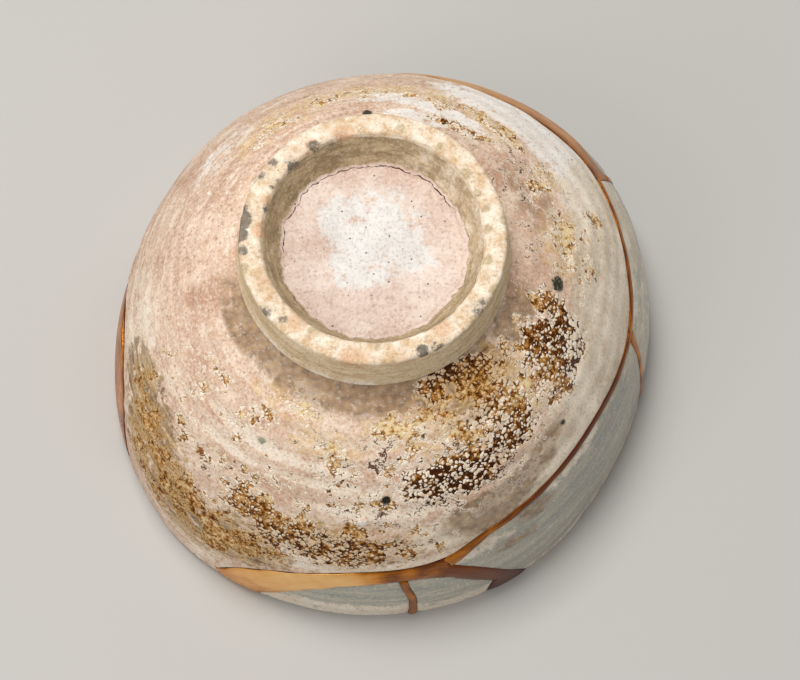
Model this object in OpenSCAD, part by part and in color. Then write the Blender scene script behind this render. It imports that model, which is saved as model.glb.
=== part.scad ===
// Kintsugi tea bowl: a thrown stoneware bowl that broke along its rim and was put together again
// with lacquer, the joins drawn over with gold. It stands mouth down on its rim, with its foot up.
// The origin is in the middle of the rim's plane and +Z goes up to the foot.
// Angles go round from +X towards +Y, and heights go up the outside of the wall from the rim.

/* [Bowl] */
// Mean radius of the rim, outside
rim_r = 64; // [60:0.5:70]
// Height from the rim to the face of the foot
bowl_h = 76; // [72:0.5:84]
// Fullness of the belly: 2 is an ellipse, more is fuller
belly = 2.4; // [2.1:0.1:2.8]
// Fullness of the shoulder below the foot: 2 is an ellipse, more is squarer
shoulder = 2.1; // [1.9:0.1:2.4]
// Wall thickness at the rim
wall_t = 4; // [3.5:0.1:5]
// Thickness of the floor between the inside and the recess of the foot
floor_t = 6.5; // [5.5:0.1:8]
// Height of the rounding of the lip
lip_h = 1.6; // [1:0.1:2]
// Radius of the flat tea pool in the middle of the inside
pool_r = 9; // [6:0.5:14]

/* [Out of round] */
// How far the long axis of the rim stands out beyond the mean radius
oval = 2.4; // [0:0.1:4]
// Direction of the long axis
oval_dir = 50; // [0:1:180]
// How far the three high sides of the rim stand out
three_sided = 0.4; // [0:0.1:1]
// Direction of one of the three high sides
three_dir = 36; // [0:1:120]
// How far the four high sides of the rim stand out
four_sided = 0.7; // [0:0.1:1]
// Direction of one of the four high sides
four_dir = 35; // [0:1:90]

/* [Foot] */
// Outer radius of the foot at its face
foot_r = 28.5; // [26:0.25:30]
// Radius where the foot meets the dome
foot_root_r = 29.6; // [29:0.1:32]
// Height of the outside of the foot
foot_h = 11; // [9:0.25:13]
// Width of the foot ring at its face
foot_w = 4.8; // [4:0.1:5.6]
// Rounding along both edges of the face of the foot
foot_edge = 0.6; // [0.3:0.1:1]
// Depth of the recess in the foot
recess_d = 8; // [6:0.25:9]
// Radius of the recess at its base
recess_r = 20.3; // [18:0.1:21]
// Rise of the base of the recess at its middle
recess_rise = 0.6; // [0.2:0.1:1]
// Offset of the foot from the middle of the rim along X
foot_x = -1.9; // [-3:0.1:3]
// Offset of the foot from the middle of the rim along Y
foot_y = 0.2; // [-3:0.1:3]

/* [Breaks] */
// Highest point of the main break above the rim
break_h = 43; // [40:0.5:46]
// Height of the two broken pieces under the front fill
arch_h = 22.8; // [20:0.2:24]
// Height of the chip filled at the left of the rim
notch_h = 29; // [24:0.5:34]
// Widest gap where the main break leaves the front fill
front_gap = 3; // [1:0.1:4]
// Widest gap of the far fill, where a sliver of the wall is lost
far_gap = 18; // [12:0.5:20]
// Chip on each side of the right crack at the rim
rim_chip = 1.2; // [0:0.1:2]
// Gap between two broken faces elsewhere
joint_gap = 0.4; // [0.3:0.05:0.6]
// Clearance between a broken face and the lacquer in its joint
seat = 0.1; // [0.05:0.01:0.12]

/* [Gold] */
// Width of the groove along each broken edge, where the gold is laid
groove_w = 0.9; // [0.6:0.1:1.4]
// Depth of that groove
groove_d = 0.5; // [0.3:0.05:0.8]
// Height of the gold above the wall
gold_proud = 0.35; // [0.2:0.05:0.6]

/* [Hidden] */

stoneware = "#c8ab92";
celadon = "#b4b2a4";
gold = "#b87a32";
lacquer = "#43201a";

foot_z = bowl_h - foot_h;
recess_z = bowl_h - recess_d;
inside_h = recess_z - floor_t;
inside_r = rim_r - wall_t;
// The outer curve would close on the axis here, so that it meets the foot at its root
dome_h = foot_z / pow(1 - pow(foot_root_r / rim_r, belly), 1 / shoulder);
// The foot goes this far into the dome
foot_sink = 1;
// The wall of the foot is hollow here, as shares of its taper and of its height
foot_hollow = [0.6, 0.17];
half_gap = joint_gap / 2;
// A broken edge stands back this far at the surface
edge_back = half_gap + groove_w;
// Share of the wall that a groove takes, from the thickness at the rim
groove_share = groove_d / wall_t;
// The lacquer stands back from the gold by its clearance
core_share = groove_share + seat / wall_t;
// Degrees round the rim for each millimetre
turn = 180 / (PI * rim_r);

// The lip, as shares through the wall and shares of its height
lip_shape = [[0.3, 0], [0.12, 0.3], [0.88, 0.3], [0.7, 0]];

// Where the breaks meet the rim, and where they meet each other
fill_left_dir = 235;
arch_left_dir = 243.5;
front_crack_rim_dir = 276;
front_crack_top_dir = 274;
arch_split_dir = 283;
arch_right_dir = 294.5;
arch_right_rim_dir = 293;
fill_right_dir = 301;
front_corner_dir = 284;
right_crack_rim_dir = 351;
right_corner_dir = 353.5;
far_corner_dir = 391;
far_crack_rim_dir = 397;
break_end_dir = 460;
notch_left_dir = 523;
notch_right_dir = 563;

// Breaks as angles and shares of their height, and the far fill as angles and shares of its widest gap
break_line = [
    [fill_left_dir, 0.09], [240, 0.29], [248, 0.45], [262, 0.58], [front_corner_dir, 0.655], [294, 0.755],
    [325, 0.84], [352, 0.79], [375, 0.885], [395, 0.9], [423, 1], [442, 0.86], [break_end_dir, 0.45]
];
arch_line = [
    [arch_left_dir, 0.11], [252, 0.59], [262, 0.885], [275, 1], [arch_split_dir, 0.94], [289, 0.68],
    [arch_right_dir, 0.35]
];
far_gap_line = [
    [far_corner_dir, 0.42], [398, 0.44], [406, 0.98], [412, 1], [420, 0.8], [428, 0.6], [436, 0.34],
    [444, 0.1], [452, 0], [break_end_dir, 0]
];
notch_line = [
    [notch_left_dir, 0.17], [528, 0.62], [536, 0.93], [544, 1], [553, 0.93], [559, 0.69],
    [notch_right_dir, 0.17]
];

// How far the cracks bow to one side, in degrees
front_bow = 1;
right_bow = 1.5;
// The angle over which the gap beside the front fill closes, and how hollow its edge is
front_gap_turn = 12;
gap_hollow = 1.4;
// The crown of the gold: its height at the shoulders, and at a thin end, as shares of its height
gold_shoulder = 0.75;
gold_thin = 0.2;

// How many steps the broken edges, the rows up the wall and the fills have
fill_steps = 15;
fill_turn_steps = 11;
arch_edge_steps = 3;
front_left_steps = 9;
front_middle_steps = 8;
front_steps = 15;
right_steps = 9;
far_steps = 17;
end_steps = 3;
rim_steps = 10;
notch_steps = 14;
crack_steps = 6;
body_rows = 11;
shard_rows = 6;
small_rows = 5;
fill_strips = 4;

function mix(a, b, t) = a + (b - a) * t;
function steps(n) = [for (i = [0 : n]) i / n];

// A smooth curve through points that are sorted by their first number
function slope(p, i) =
    let (a = p[max(i - 1, 0)], b = p[min(i + 1, len(p) - 1)])
    (b.y - a.y) / (b.x - a.x);
function span(p, x, i = 0) = i >= len(p) - 2 || x < p[i + 1].x ? i : span(p, x, i + 1);
function curve(p, x) =
    let (
        i = span(p, x),
        w = p[i + 1].x - p[i].x,
        t = min(max((x - p[i].x) / w, 0), 1)
    )
    p[i].y * (1 + 2 * t) * pow(1 - t, 2) + p[i + 1].y * t * t * (3 - 2 * t)
    + w * t * (1 - t) * (slope(p, i) * (1 - t) - slope(p, i + 1) * t);

break_z = function(a) break_h * curve(break_line, a);
arch_z = function(a) arch_h * curve(arch_line, a);
notch_z = function(a) notch_h * curve(notch_line, a);
// Extra width of the main break: beside the front fill, and in the far fill
function front_share(a) =
    a < front_corner_dir ? 0 : pow(max(0, 1 - (a - front_corner_dir) / front_gap_turn), gap_hollow);
function far_gap_share(a) = a < far_corner_dir ? 0 : max(0, curve(far_gap_line, a));
function break_gap(a) = front_gap * front_share(a) + far_gap * far_gap_share(a);
shard_z = function(a) break_z(a) - break_gap(a);

// The cracks from the main break down to the rim, from 0 at the rim to 1 at the break
front_crack = function(v) mix(front_crack_rim_dir, front_crack_top_dir, v) + front_bow * sin(180 * v);
right_crack = function(v) mix(right_crack_rim_dir, right_corner_dir, v) - right_bow * sin(180 * v);
far_crack = function(v) mix(far_crack_rim_dir, far_corner_dir, v);
// The far shard stops short of the main break, where the far fill widens
far_share = shard_z(far_corner_dir + 1) / break_z(far_corner_dir);
far_low = far_crack(far_share);
far_edge = function(v) far_crack(v * far_share);
// The right crack is chipped wider towards the rim
chip = function(v) rim_chip * pow(1 - v, 3);
right_crack_left = function(v) right_crack(v) - chip(v) * turn;
right_crack_right = function(v) right_crack(v) + chip(v) * turn;
fill_edge = function(v) mix(fill_right_dir, front_corner_dir, v);
arch_edge = function(v) mix(arch_right_rim_dir, arch_right_dir, v);

// The wall: a superellipse from the rim to the foot, out of round at the rim and round at the foot
function rise_of(h) = asin(min(1, pow(max(h, 0) / dome_h, shoulder / 2)));
function height_of(rise) = dome_h * pow(sin(rise), 2 / shoulder);
function out_of_round(a) =
    let (
        two = oval * cos(2 * (a - oval_dir)),
        three = three_sided * cos(3 * (a - three_dir)),
        four = four_sided * cos(4 * (a - four_dir))
    )
    (two + three + four) / rim_r;
function skin(a, rise, r, h) =
    let (
        share = min(1, height_of(rise) / foot_z),
        reach = r * pow(cos(rise), 2 / belly) * (1 + out_of_round(a) * (1 - share * share)),
        lean = pow(share, 3)
    )
    [foot_x * lean + reach * cos(a), foot_y * lean + reach * sin(a), h * pow(sin(rise), 2 / shoulder)];
// A point in the wall: w goes through it from 0 outside to 1 inside, and lift stands proud of the outside
function wall_point(a, h, w, lift = 0) =
    let (
        rise = rise_of(h),
        outside = skin(a, rise, rim_r, dome_h),
        inside = skin(a, rise, inside_r, inside_h),
        through = inside - outside
    )
    outside + through * (w - lift / norm(through));

// A closed solid through loops of points, each with as many points as the next
module loft(loops, flip = false) {
    m = len(loops[0]);
    n = len(loops);
    sides = [
        for (j = [0 : n - 2], k = [0 : m - 1])
            let (a = j * m + k, b = j * m + (k + 1) % m)
            each [[a, b, b + m], [a, b + m, a + m]]
    ];
    start = [
        for (k = [0 : ceil(m / 2) - 2])
            each [[k, m - 1 - k, m - 2 - k], if (k < m - 3 - k) [k, m - 2 - k, k + 1]]
    ];
    top = (n - 1) * m;
    end = [for (f = start) [f[2] + top, f[1] + top, f[0] + top]];
    faces = concat(sides, start, end);
    polyhedron(
        points = [for (l = loops) each l],
        faces = flip ? [for (f = faces) [f[2], f[1], f[0]]] : faces,
        convexity = 10
    );
}

// A broken piece of wall, from the lip up to its top edge, between its left and right edges.
// Each station goes from the lip up the outside, over the top edge and down the inside.
function shard_loop(u, back, share, left, right, top, rows) =
    let (
        through = function(w) mix(share, 1 - share, w),
        at = function(v) mix(left(v) + back * turn, right(v) - back * turn, u),
        up = function(v, w, top_back)
            wall_point(at(v), mix(lip_h, top(at(v)) - top_back, v), through(w)),
        lip = function(i) wall_point(at(0), lip_h * lip_shape[i].y, through(lip_shape[i].x))
    )
    [
        lip(0), lip(1),
        each [for (v = steps(rows)) up(v, 0, back)],
        up(1, groove_share, half_gap), up(1, 1 - groove_share, half_gap),
        each [for (v = steps(rows)) up(1 - v, 1, back)],
        lip(2), lip(3)
    ];

module shard(left, right, top, n, rows) {
    loft([
        shard_loop(0, half_gap, groove_share, left, right, top, rows),
        each [for (u = steps(n)) shard_loop(u, edge_back, 0, left, right, top, rows)],
        shard_loop(1, half_gap, groove_share, left, right, top, rows)
    ]);
}

// A strip between two broken edges is a list of stations, each with its first and its second edge point.
// A point across it: e goes from 0 on the second edge to 1 on the first, and beyond goes past either edge.
function across(station, e, beyond) =
    let (
        a = station[0],
        b = station[1],
        d = [(a.x - b.x) / turn, a.y - b.y],
        n = d / norm(d)
    )
    mix(b, a, e) + [n.x * turn, n.y] * beyond;

// Lacquer in the joint, from groove to groove through the wall. A fill is also rounded over at the lip.
module joint_core(strip, strips = 1, to_lip = false) {
    row = function(s, w, list) [
        for (e = list) let (p = across(s, e, (0.5 - e) * 2 * seat)) wall_point(p.x, p.y, w)
    ];
    up = steps(strips);
    loop = function(s, w) concat(row(s, w, up), row(s, 1 - w, [for (e = up) 1 - e]));
    at_lip = function(s) [loop([[s[0].x, 0], [s[1].x, 0]], lip_shape[0].x)];
    loft(concat(
        to_lip ? at_lip(strip[0]) : [],
        [for (s = strip) loop(s, core_share)],
        to_lip ? at_lip(strip[len(strip) - 1]) : []
    ));
}

// Gold laid over the joint: it fills the grooves beside the joint and stands a little proud.
// With a lead it starts as a thin edge, over the groove of the shard that it ends against.
module joint_gold(strip, inside = false, strips = 1, lead = false) {
    flange = groove_w - seat;
    point = function(p, w, lift) wall_point(p.x, p.y, inside ? 1 - w : w, inside ? -lift : lift);
    loop = function(s, full) [
        point(across(s, 0, -flange), 0, 0),
        each [for (e = steps(strips)) point(across(s, e, (0.5 - e) * 2 * seat), groove_share * full, 0)],
        point(across(s, 1, flange), 0, 0),
        point(across(s, 1, flange / 2), 0, gold_proud * gold_shoulder * full),
        each [for (e = steps(strips)) point(across(s, 1 - e, 0), 0, gold_proud * full)],
        point(across(s, 0, -flange / 2), 0, gold_proud * gold_shoulder * full)
    ];
    back = [flange * turn, 0];
    loft(
        concat(
            lead ? [loop([for (p = strip[0]) p - back], gold_thin)] : [],
            [for (s = strip) loop(s, 1)]
        ),
        !inside
    );
}

// The main break: the edge of the body first, between two angles, and the edge of the shards second
function break_station(a, b) = [[a, break_z(a) + half_gap], [b, shard_z(b) - half_gap]];
function break_strip(from, to, n) = [for (t = steps(n)) let (a = mix(from, to, t)) break_station(a, a)];
// A crack from the rim up to the gold of the main break, at the heights of the shards beside it
function crack_strip(left, right, top) =
    let (
        station = function(v, z) [[left(v) - half_turn, z], [right(v) + half_turn, z]],
        high = top(right(1)) - half_gap,
        stop = 1 - edge_back / (high - lip_h)
    )
    concat(
        [station(0, lip_h / 2)],
        [for (t = steps(crack_steps)) let (v = t * stop) station(v, mix(lip_h, high, v))]
    );

// Angles for half a joint gap and for an edge with its groove
half_turn = half_gap * turn;
edge_turn = edge_back * turn;
front_seam = break_strip(front_corner_dir + edge_turn, right_corner_dir - half_turn, front_steps);
right_seam = break_strip(right_corner_dir + half_turn, far_corner_dir - edge_turn, right_steps);
far_seam = concat(
    [break_station(far_corner_dir + half_turn, far_low + half_turn)],
    [
        for (t = steps(far_steps))
            if (t > 0)
                let (last = break_end_dir - edge_turn)
                break_station(mix(far_corner_dir + half_turn, last, t), mix(far_low + edge_turn, last, t))
    ],
    [
        for (t = steps(end_steps))
            let (top = break_station(break_end_dir + half_turn, break_end_dir - half_turn))
            [for (p = top) [p.x, mix(p.y, lip_h / 2, t)]]
    ]
);

// The front fill: its outer edge runs along the body and then along the front right shard,
// its inner edge over the two small shards
fill_outer = concat(
    [
        for (t = steps(fill_steps))
            let (a = mix(fill_left_dir, front_corner_dir, t))
            [a, t == 0 ? lip_h / 2 : break_z(a)]
    ],
    [
        for (t = steps(fill_turn_steps - 1))
            let (v = 1 - t, a = fill_edge(v))
            [a, mix(lip_h / 2, shard_z(a), v)]
    ]
);
fill_inner = concat(
    [[arch_left_dir, lip_h / 2]],
    [for (t = steps(fill_steps - 1)) let (a = mix(arch_left_dir, arch_split_dir, t)) [a, arch_z(a)]],
    [
        for (t = steps(fill_turn_steps - arch_edge_steps))
            if (t > 0) let (a = mix(arch_split_dir, arch_right_dir, t)) [a, arch_z(a)]
    ],
    [
        for (t = steps(arch_edge_steps))
            if (t > 0) let (v = 1 - t) [arch_edge(v), mix(lip_h / 2, arch_z(arch_right_dir), v)]
    ]
);
front_strip = [for (i = [0 : len(fill_outer) - 1]) [fill_outer[i], fill_inner[i]]];
left_strip = [
    for (t = steps(notch_steps))
        let (a = mix(notch_left_dir + 2 * half_turn, notch_right_dir - 2 * half_turn, t))
        [[a, notch_z(a) - half_gap], [a, lip_h]]
];

// The lower edge of the body, round the whole bowl: angle, height, and 1 where it is broken
function broken_edge(from, to, n) = [
    for (t = steps(n)) if (t > 0) let (a = mix(from, to, t)) [a, break_z(a), 1]
];
body_edge = concat(
    [[fill_left_dir, 0, 1]],
    [[fill_left_dir, break_z(fill_left_dir), 1]],
    broken_edge(fill_left_dir, front_corner_dir, fill_steps),
    broken_edge(front_corner_dir, right_corner_dir, front_steps),
    broken_edge(right_corner_dir, far_corner_dir, right_steps),
    broken_edge(far_corner_dir, break_end_dir, far_steps),
    [for (t = steps(end_steps)) if (t > 0) [break_end_dir, mix(break_z(break_end_dir), 0, t), 1]],
    [for (t = steps(rim_steps)) if (t > 0 && t < 1) [mix(break_end_dir, notch_left_dir, t), 0, 0]],
    [[notch_left_dir, 0, 1]],
    [for (t = steps(notch_steps)) let (a = mix(notch_left_dir, notch_right_dir, t)) [a, notch_z(a), 1]],
    [[notch_right_dir, 0, 1]],
    [for (t = steps(rim_steps / 2)) if (t > 0 && t < 1) [mix(notch_right_dir, fill_left_dir + 360, t), 0, 0]]
);
body_columns = len(body_edge);

// A point of that edge, moved square to it into the body
function edge_point(j, back) =
    let (
        here = body_edge[j],
        before = body_edge[(j + body_columns - 1) % body_columns],
        after = body_edge[(j + 1) % body_columns],
        d = [((after.x - before.x + 540) % 360 - 180) / turn, after.y - before.y],
        n = [-d.y, d.x] / norm(d)
    )
    [here.x + n.x * back * turn, max(0, here.y + n.y * back)];

// The body from the edge up: one ring of points at a share of the way to the top ring
function body_ring(w, share, top_rise, broken_back, rim_back) = [
    for (j = [0 : body_columns - 1])
        let (
            p = edge_point(j, body_edge[j][2] == 1 ? broken_back : rim_back),
            a = mix(p.x, fill_left_dir + 360 * j / body_columns, share),
            rise = mix(rise_of(p.y), top_rise, share)
        )
        wall_point(a, height_of(rise), w)
];
pool_rise = acos(pow(pool_r / inside_r, belly / 2));
body_rings = concat(
    [for (t = steps(body_rows)) body_ring(0, 1 - t, rise_of(foot_z), edge_back, lip_h)],
    [body_ring(lip_shape[1].x, 0, 0, half_gap, lip_h * lip_shape[1].y)],
    [body_ring(lip_shape[0].x, 0, 0, half_gap, 0)],
    [body_ring(lip_shape[3].x, 0, 0, half_gap, 0)],
    [body_ring(lip_shape[2].x, 0, 0, half_gap, lip_h * lip_shape[2].y)],
    [for (t = steps(body_rows)) body_ring(1, t, pool_rise, edge_back, lip_h)]
);

// The turned foot: a tapered ring with a shallow dished recess
module foot() {
    translate([foot_x, foot_y, 0])
    rotate_extrude($fn = 96)
    polygon([
        [0, foot_z - foot_sink],
        [foot_root_r - foot_edge / 2, foot_z - foot_sink],
        [foot_root_r - foot_edge / 2, foot_z + foot_edge / 2],
        [mix(foot_root_r, foot_r, foot_hollow.x), foot_z + foot_h * foot_hollow.y],
        [foot_r, bowl_h - foot_edge],
        [foot_r - foot_edge / 3, bowl_h - foot_edge / 3],
        [foot_r - foot_edge, bowl_h],
        [foot_r - foot_w + foot_edge, bowl_h],
        [foot_r - foot_w + foot_edge / 3, bowl_h - foot_edge / 3],
        [foot_r - foot_w, bowl_h - foot_edge],
        [recess_r + foot_edge, recess_z + 2 * foot_edge],
        [recess_r - foot_edge, recess_z],
        [0, recess_z + recess_rise]
    ]);
}

module body() {
    color(stoneware) {
        loft(body_rings);
        foot();
    }
}

module shard_front_left() {
    color(celadon) shard(function(v) arch_left_dir, front_crack, arch_z, front_left_steps, small_rows);
}

module shard_front_middle() {
    color(celadon) shard(front_crack, arch_edge, arch_z, front_middle_steps, small_rows);
}

module shard_front_right() {
    color(celadon) shard(fill_edge, right_crack_left, shard_z, front_steps, shard_rows);
}

module shard_right() {
    color(celadon) shard(right_crack_right, far_crack, break_z, right_steps, shard_rows);
}

module shard_far() {
    color(celadon) shard(far_edge, function(v) break_end_dir, shard_z, far_steps, shard_rows);
}

module front_fill() {
    color(lacquer) joint_core(front_strip, fill_strips, true);
}

module front_fill_gold_outside() {
    color(gold) joint_gold(front_strip, false, fill_strips);
}

module front_fill_gold_inside() {
    color(gold) joint_gold(front_strip, true, fill_strips);
}

module left_fill() {
    color(lacquer) loft([
        for (u = steps(notch_steps))
            shard_loop(
                u, half_gap, core_share, function(v) notch_left_dir + seat * turn,
                function(v) notch_right_dir - seat * turn, function(a) notch_z(a) - seat, fill_strips
            )
    ]);
}

module left_fill_gold_outside() {
    color(gold) joint_gold(left_strip, false, fill_strips);
}

module left_fill_gold_inside() {
    color(gold) joint_gold(left_strip, true, fill_strips);
}

module front_seam_lacquer() {
    color(lacquer) joint_core(front_seam);
}

module front_seam_gold_outside() {
    color(gold) joint_gold(front_seam);
}

module front_seam_gold_inside() {
    color(gold) joint_gold(front_seam, true);
}

module right_seam_lacquer() {
    color(lacquer) joint_core(right_seam);
}

module right_seam_gold_outside() {
    color(gold) joint_gold(right_seam);
}

module right_seam_gold_inside() {
    color(gold) joint_gold(right_seam, true);
}

module far_seam_lacquer() {
    color(lacquer) joint_core(far_seam, fill_strips);
}

module far_seam_gold_outside() {
    color(gold) joint_gold(far_seam, false, fill_strips, lead = true);
}

module far_seam_gold_inside() {
    color(gold) joint_gold(far_seam, true, fill_strips, lead = true);
}

front_crack_strip = crack_strip(front_crack, front_crack, arch_z);
right_crack_strip = crack_strip(right_crack_left, right_crack_right, break_z);
far_crack_strip = crack_strip(far_edge, far_edge, shard_z);

module front_crack_lacquer() {
    color(lacquer) joint_core(front_crack_strip);
}

module front_crack_gold_outside() {
    color(gold) joint_gold(front_crack_strip);
}

module front_crack_gold_inside() {
    color(gold) joint_gold(front_crack_strip, true);
}

module right_crack_lacquer() {
    color(lacquer) joint_core(right_crack_strip);
}

module right_crack_gold_outside() {
    color(gold) joint_gold(right_crack_strip);
}

module right_crack_gold_inside() {
    color(gold) joint_gold(right_crack_strip, true);
}

module far_crack_lacquer() {
    color(lacquer) joint_core(far_crack_strip);
}

module far_crack_gold_outside() {
    color(gold) joint_gold(far_crack_strip);
}

module far_crack_gold_inside() {
    color(gold) joint_gold(far_crack_strip, true);
}

body();
shard_front_left();
shard_front_middle();
shard_front_right();
shard_right();
shard_far();
front_fill();
front_fill_gold_outside();
front_fill_gold_inside();
left_fill();
left_fill_gold_outside();
left_fill_gold_inside();
front_seam_lacquer();
front_seam_gold_outside();
front_seam_gold_inside();
right_seam_lacquer();
right_seam_gold_outside();
right_seam_gold_inside();
far_seam_lacquer();
far_seam_gold_outside();
far_seam_gold_inside();
front_crack_lacquer();
front_crack_gold_outside();
front_crack_gold_inside();
right_crack_lacquer();
right_crack_gold_outside();
right_crack_gold_inside();
far_crack_lacquer();
far_crack_gold_outside();
far_crack_gold_inside();
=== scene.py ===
"""Looks of a mended tea bowl that stands mouth down on its rim.

Lengths are in metres and angles in degrees.
"""

import bmesh
import bpy
import numpy as np
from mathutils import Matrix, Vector, noise


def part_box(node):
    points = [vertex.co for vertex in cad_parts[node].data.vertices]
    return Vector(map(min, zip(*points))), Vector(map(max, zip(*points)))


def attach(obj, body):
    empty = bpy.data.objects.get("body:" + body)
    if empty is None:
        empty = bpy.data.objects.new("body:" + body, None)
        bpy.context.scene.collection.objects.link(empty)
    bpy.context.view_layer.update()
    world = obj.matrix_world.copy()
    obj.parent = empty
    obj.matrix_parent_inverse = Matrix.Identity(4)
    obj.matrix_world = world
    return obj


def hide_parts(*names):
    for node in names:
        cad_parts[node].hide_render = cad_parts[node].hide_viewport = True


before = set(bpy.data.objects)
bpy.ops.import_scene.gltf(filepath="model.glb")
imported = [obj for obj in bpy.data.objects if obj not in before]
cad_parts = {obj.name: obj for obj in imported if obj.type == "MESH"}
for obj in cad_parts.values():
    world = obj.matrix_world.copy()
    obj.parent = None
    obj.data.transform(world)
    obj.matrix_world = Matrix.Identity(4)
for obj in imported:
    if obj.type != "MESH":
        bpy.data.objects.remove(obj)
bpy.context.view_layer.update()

# Thrown body.
# The largest piece of a stoneware tea bowl, thrown on a wheel, with its foot ring turned when the clay was
# stiff, and glazed. Its lower edge is the rim, a chip at the left, and the break along the front, the right
# and the far side.
MM = 0.001
RIM_RADIUS = 64 * MM
BOWL_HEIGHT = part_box("body")[1].z
# Powers of the superellipse that the wall follows, across it and up it
BELLY, SHOULDER = 2.4, 2.1
WALL = 4 * MM
FLOOR = 6.5 * MM
LIP = 1.6 * MM
FOOT_RADIUS = 28.5 * MM
FOOT_ROOT = 29.6 * MM
FOOT_HEIGHT = 11 * MM
FOOT_WIDTH = 4.8 * MM
FOOT_EDGE = 0.9 * MM
RECESS_DEPTH = 8 * MM
RECESS_RADIUS = 20.3 * MM
RECESS_RISE = 0.6 * MM
FOOT_MIDDLE = np.array([-1.9 * MM, 0.2 * MM, 0])
FOOT_START = BOWL_HEIGHT - FOOT_HEIGHT
RECESS_LEVEL = BOWL_HEIGHT - RECESS_DEPTH
INSIDE_RADIUS = RIM_RADIUS - WALL
INSIDE_HEIGHT = RECESS_LEVEL - FLOOR
DOME_HEIGHT = FOOT_START / (1 - (FOOT_ROOT / RIM_RADIUS) ** BELLY) ** (1 / SHOULDER)
# The rim is out of round: how far it stands out on two, three and four sides, and in which direction
SIDES = [(2, 2.4 * MM, 50), (3, 0.4 * MM, 36), (4, 0.7 * MM, 35)]
# Degrees round the rim for each metre along it
TURN = np.degrees(1 / RIM_RADIUS)

# Where the breaks meet the rim and each other, and their lines as angles and shares of their height
FILL_LEFT, FRONT_CORNER, FILL_RIGHT = 235, 284, 301
ARCH_LEFT, ARCH_SPLIT, ARCH_RIGHT, ARCH_RIGHT_RIM = 243.5, 283, 294.5, 293
RIGHT_CORNER, RIGHT_RIM = 353.5, 351
FAR_CORNER, FAR_RIM = 391, 397
BREAK_END = 460
NOTCH_LEFT, NOTCH_RIGHT = 523, 563
BREAK_HEIGHT = 43 * MM
ARCH_HEIGHT = 22.8 * MM
NOTCH_HEIGHT = 29 * MM
BREAK_LINE = [
    (FILL_LEFT, 0.09), (240, 0.29), (248, 0.45), (262, 0.58), (FRONT_CORNER, 0.655), (294, 0.755),
    (325, 0.84), (352, 0.79), (375, 0.885), (395, 0.9), (423, 1), (442, 0.86), (BREAK_END, 0.45),
]
ARCH_LINE = [
    (ARCH_LEFT, 0.11), (252, 0.59), (262, 0.885), (275, 1), (ARCH_SPLIT, 0.94), (289, 0.68),
    (ARCH_RIGHT, 0.35),
]
NOTCH_LINE = [
    (NOTCH_LEFT, 0.17), (528, 0.62), (536, 0.93), (544, 1), (553, 0.93), (559, 0.69),
    (NOTCH_RIGHT, 0.17),
]
HALF_GAP = 0.2 * MM
GROOVE = 0.9 * MM
GROOVE_SHARE = 0.125
EDGE_BACK = HALF_GAP + GROOVE


def curve(points, at):
    """A smooth curve through points that are sorted by their first number."""
    x, y = np.array(points, float).T
    before = np.maximum(np.arange(len(x)) - 1, 0)
    after = np.minimum(np.arange(len(x)) + 1, len(x) - 1)
    slope = (y[after] - y[before]) / (x[after] - x[before])
    i = np.clip(np.searchsorted(x, at, side="right") - 1, 0, len(x) - 2)
    width = x[i + 1] - x[i]
    t = np.clip((at - x[i]) / width, 0, 1)
    ends = y[i] * (1 + 2 * t) * (1 - t) ** 2 + y[i + 1] * t * t * (3 - 2 * t)
    return ends + width * t * (1 - t) * (slope[i] * (1 - t) - slope[i + 1] * t)


def break_height(angle):
    return BREAK_HEIGHT * curve(BREAK_LINE, angle)


def arch_height(angle):
    return ARCH_HEIGHT * curve(ARCH_LINE, angle)


def notch_height(angle):
    return NOTCH_HEIGHT * curve(NOTCH_LINE, angle)


def skin(angle, rise, radius, height):
    """Points of one side of the wall, a superellipse from the rim to the axis that leans to the foot."""
    turned = np.radians(angle)
    share = np.minimum(1, DOME_HEIGHT * np.sin(rise) ** (2 / SHOULDER) / FOOT_START)
    stands_out = sum(far * np.cos(n * np.radians(angle - way)) for n, far, way in SIDES) / RIM_RADIUS
    reach = radius * np.clip(np.cos(rise), 0, 1) ** (2 / BELLY) * (1 + stands_out * (1 - share ** 2))
    level = height * np.sin(rise) ** (2 / SHOULDER)
    ring = np.stack([reach * np.cos(turned), reach * np.sin(turned), level], -1)
    return ring + FOOT_MIDDLE * share[..., None] ** 3


def wall(angle, height, depth, lift=0.0):
    """Points in the wall: height up the outside, depth from 0 outside to 1 inside, and lift off it."""
    angle, height, depth, lift = np.broadcast_arrays(angle, height, depth, lift)
    rise = np.arcsin(np.clip(height / DOME_HEIGHT, 0, 1) ** (SHOULDER / 2))
    outside = skin(angle, rise, RIM_RADIUS, DOME_HEIGHT)
    through = skin(angle, rise, INSIDE_RADIUS, INSIDE_HEIGHT) - outside
    share = depth - lift / np.linalg.norm(through, axis=-1)
    return outside + through * share[..., None]


# Heights up the outside of the wall, and how long the way up to each is
SAMPLES = np.linspace(0, 0.5 * np.pi, 500)
UP_HEIGHT = DOME_HEIGHT * np.sin(SAMPLES) ** (2 / SHOULDER)
UP_REACH = RIM_RADIUS * np.clip(np.cos(SAMPLES), 0, 1) ** (2 / BELLY)
UP_LENGTH = np.concatenate([[0], np.cumsum(np.hypot(np.diff(UP_HEIGHT), np.diff(UP_REACH)))])


def rough(points, size, depth=3):
    """Uneven ground through space, from about -1 to 1, with bumps of the given size."""
    return np.array([noise.fractal(Vector(p / size), 0.9, 2.0, depth) for p in points])


# Points nearer than this are one point
JOIN = 0.002 * MM


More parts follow.
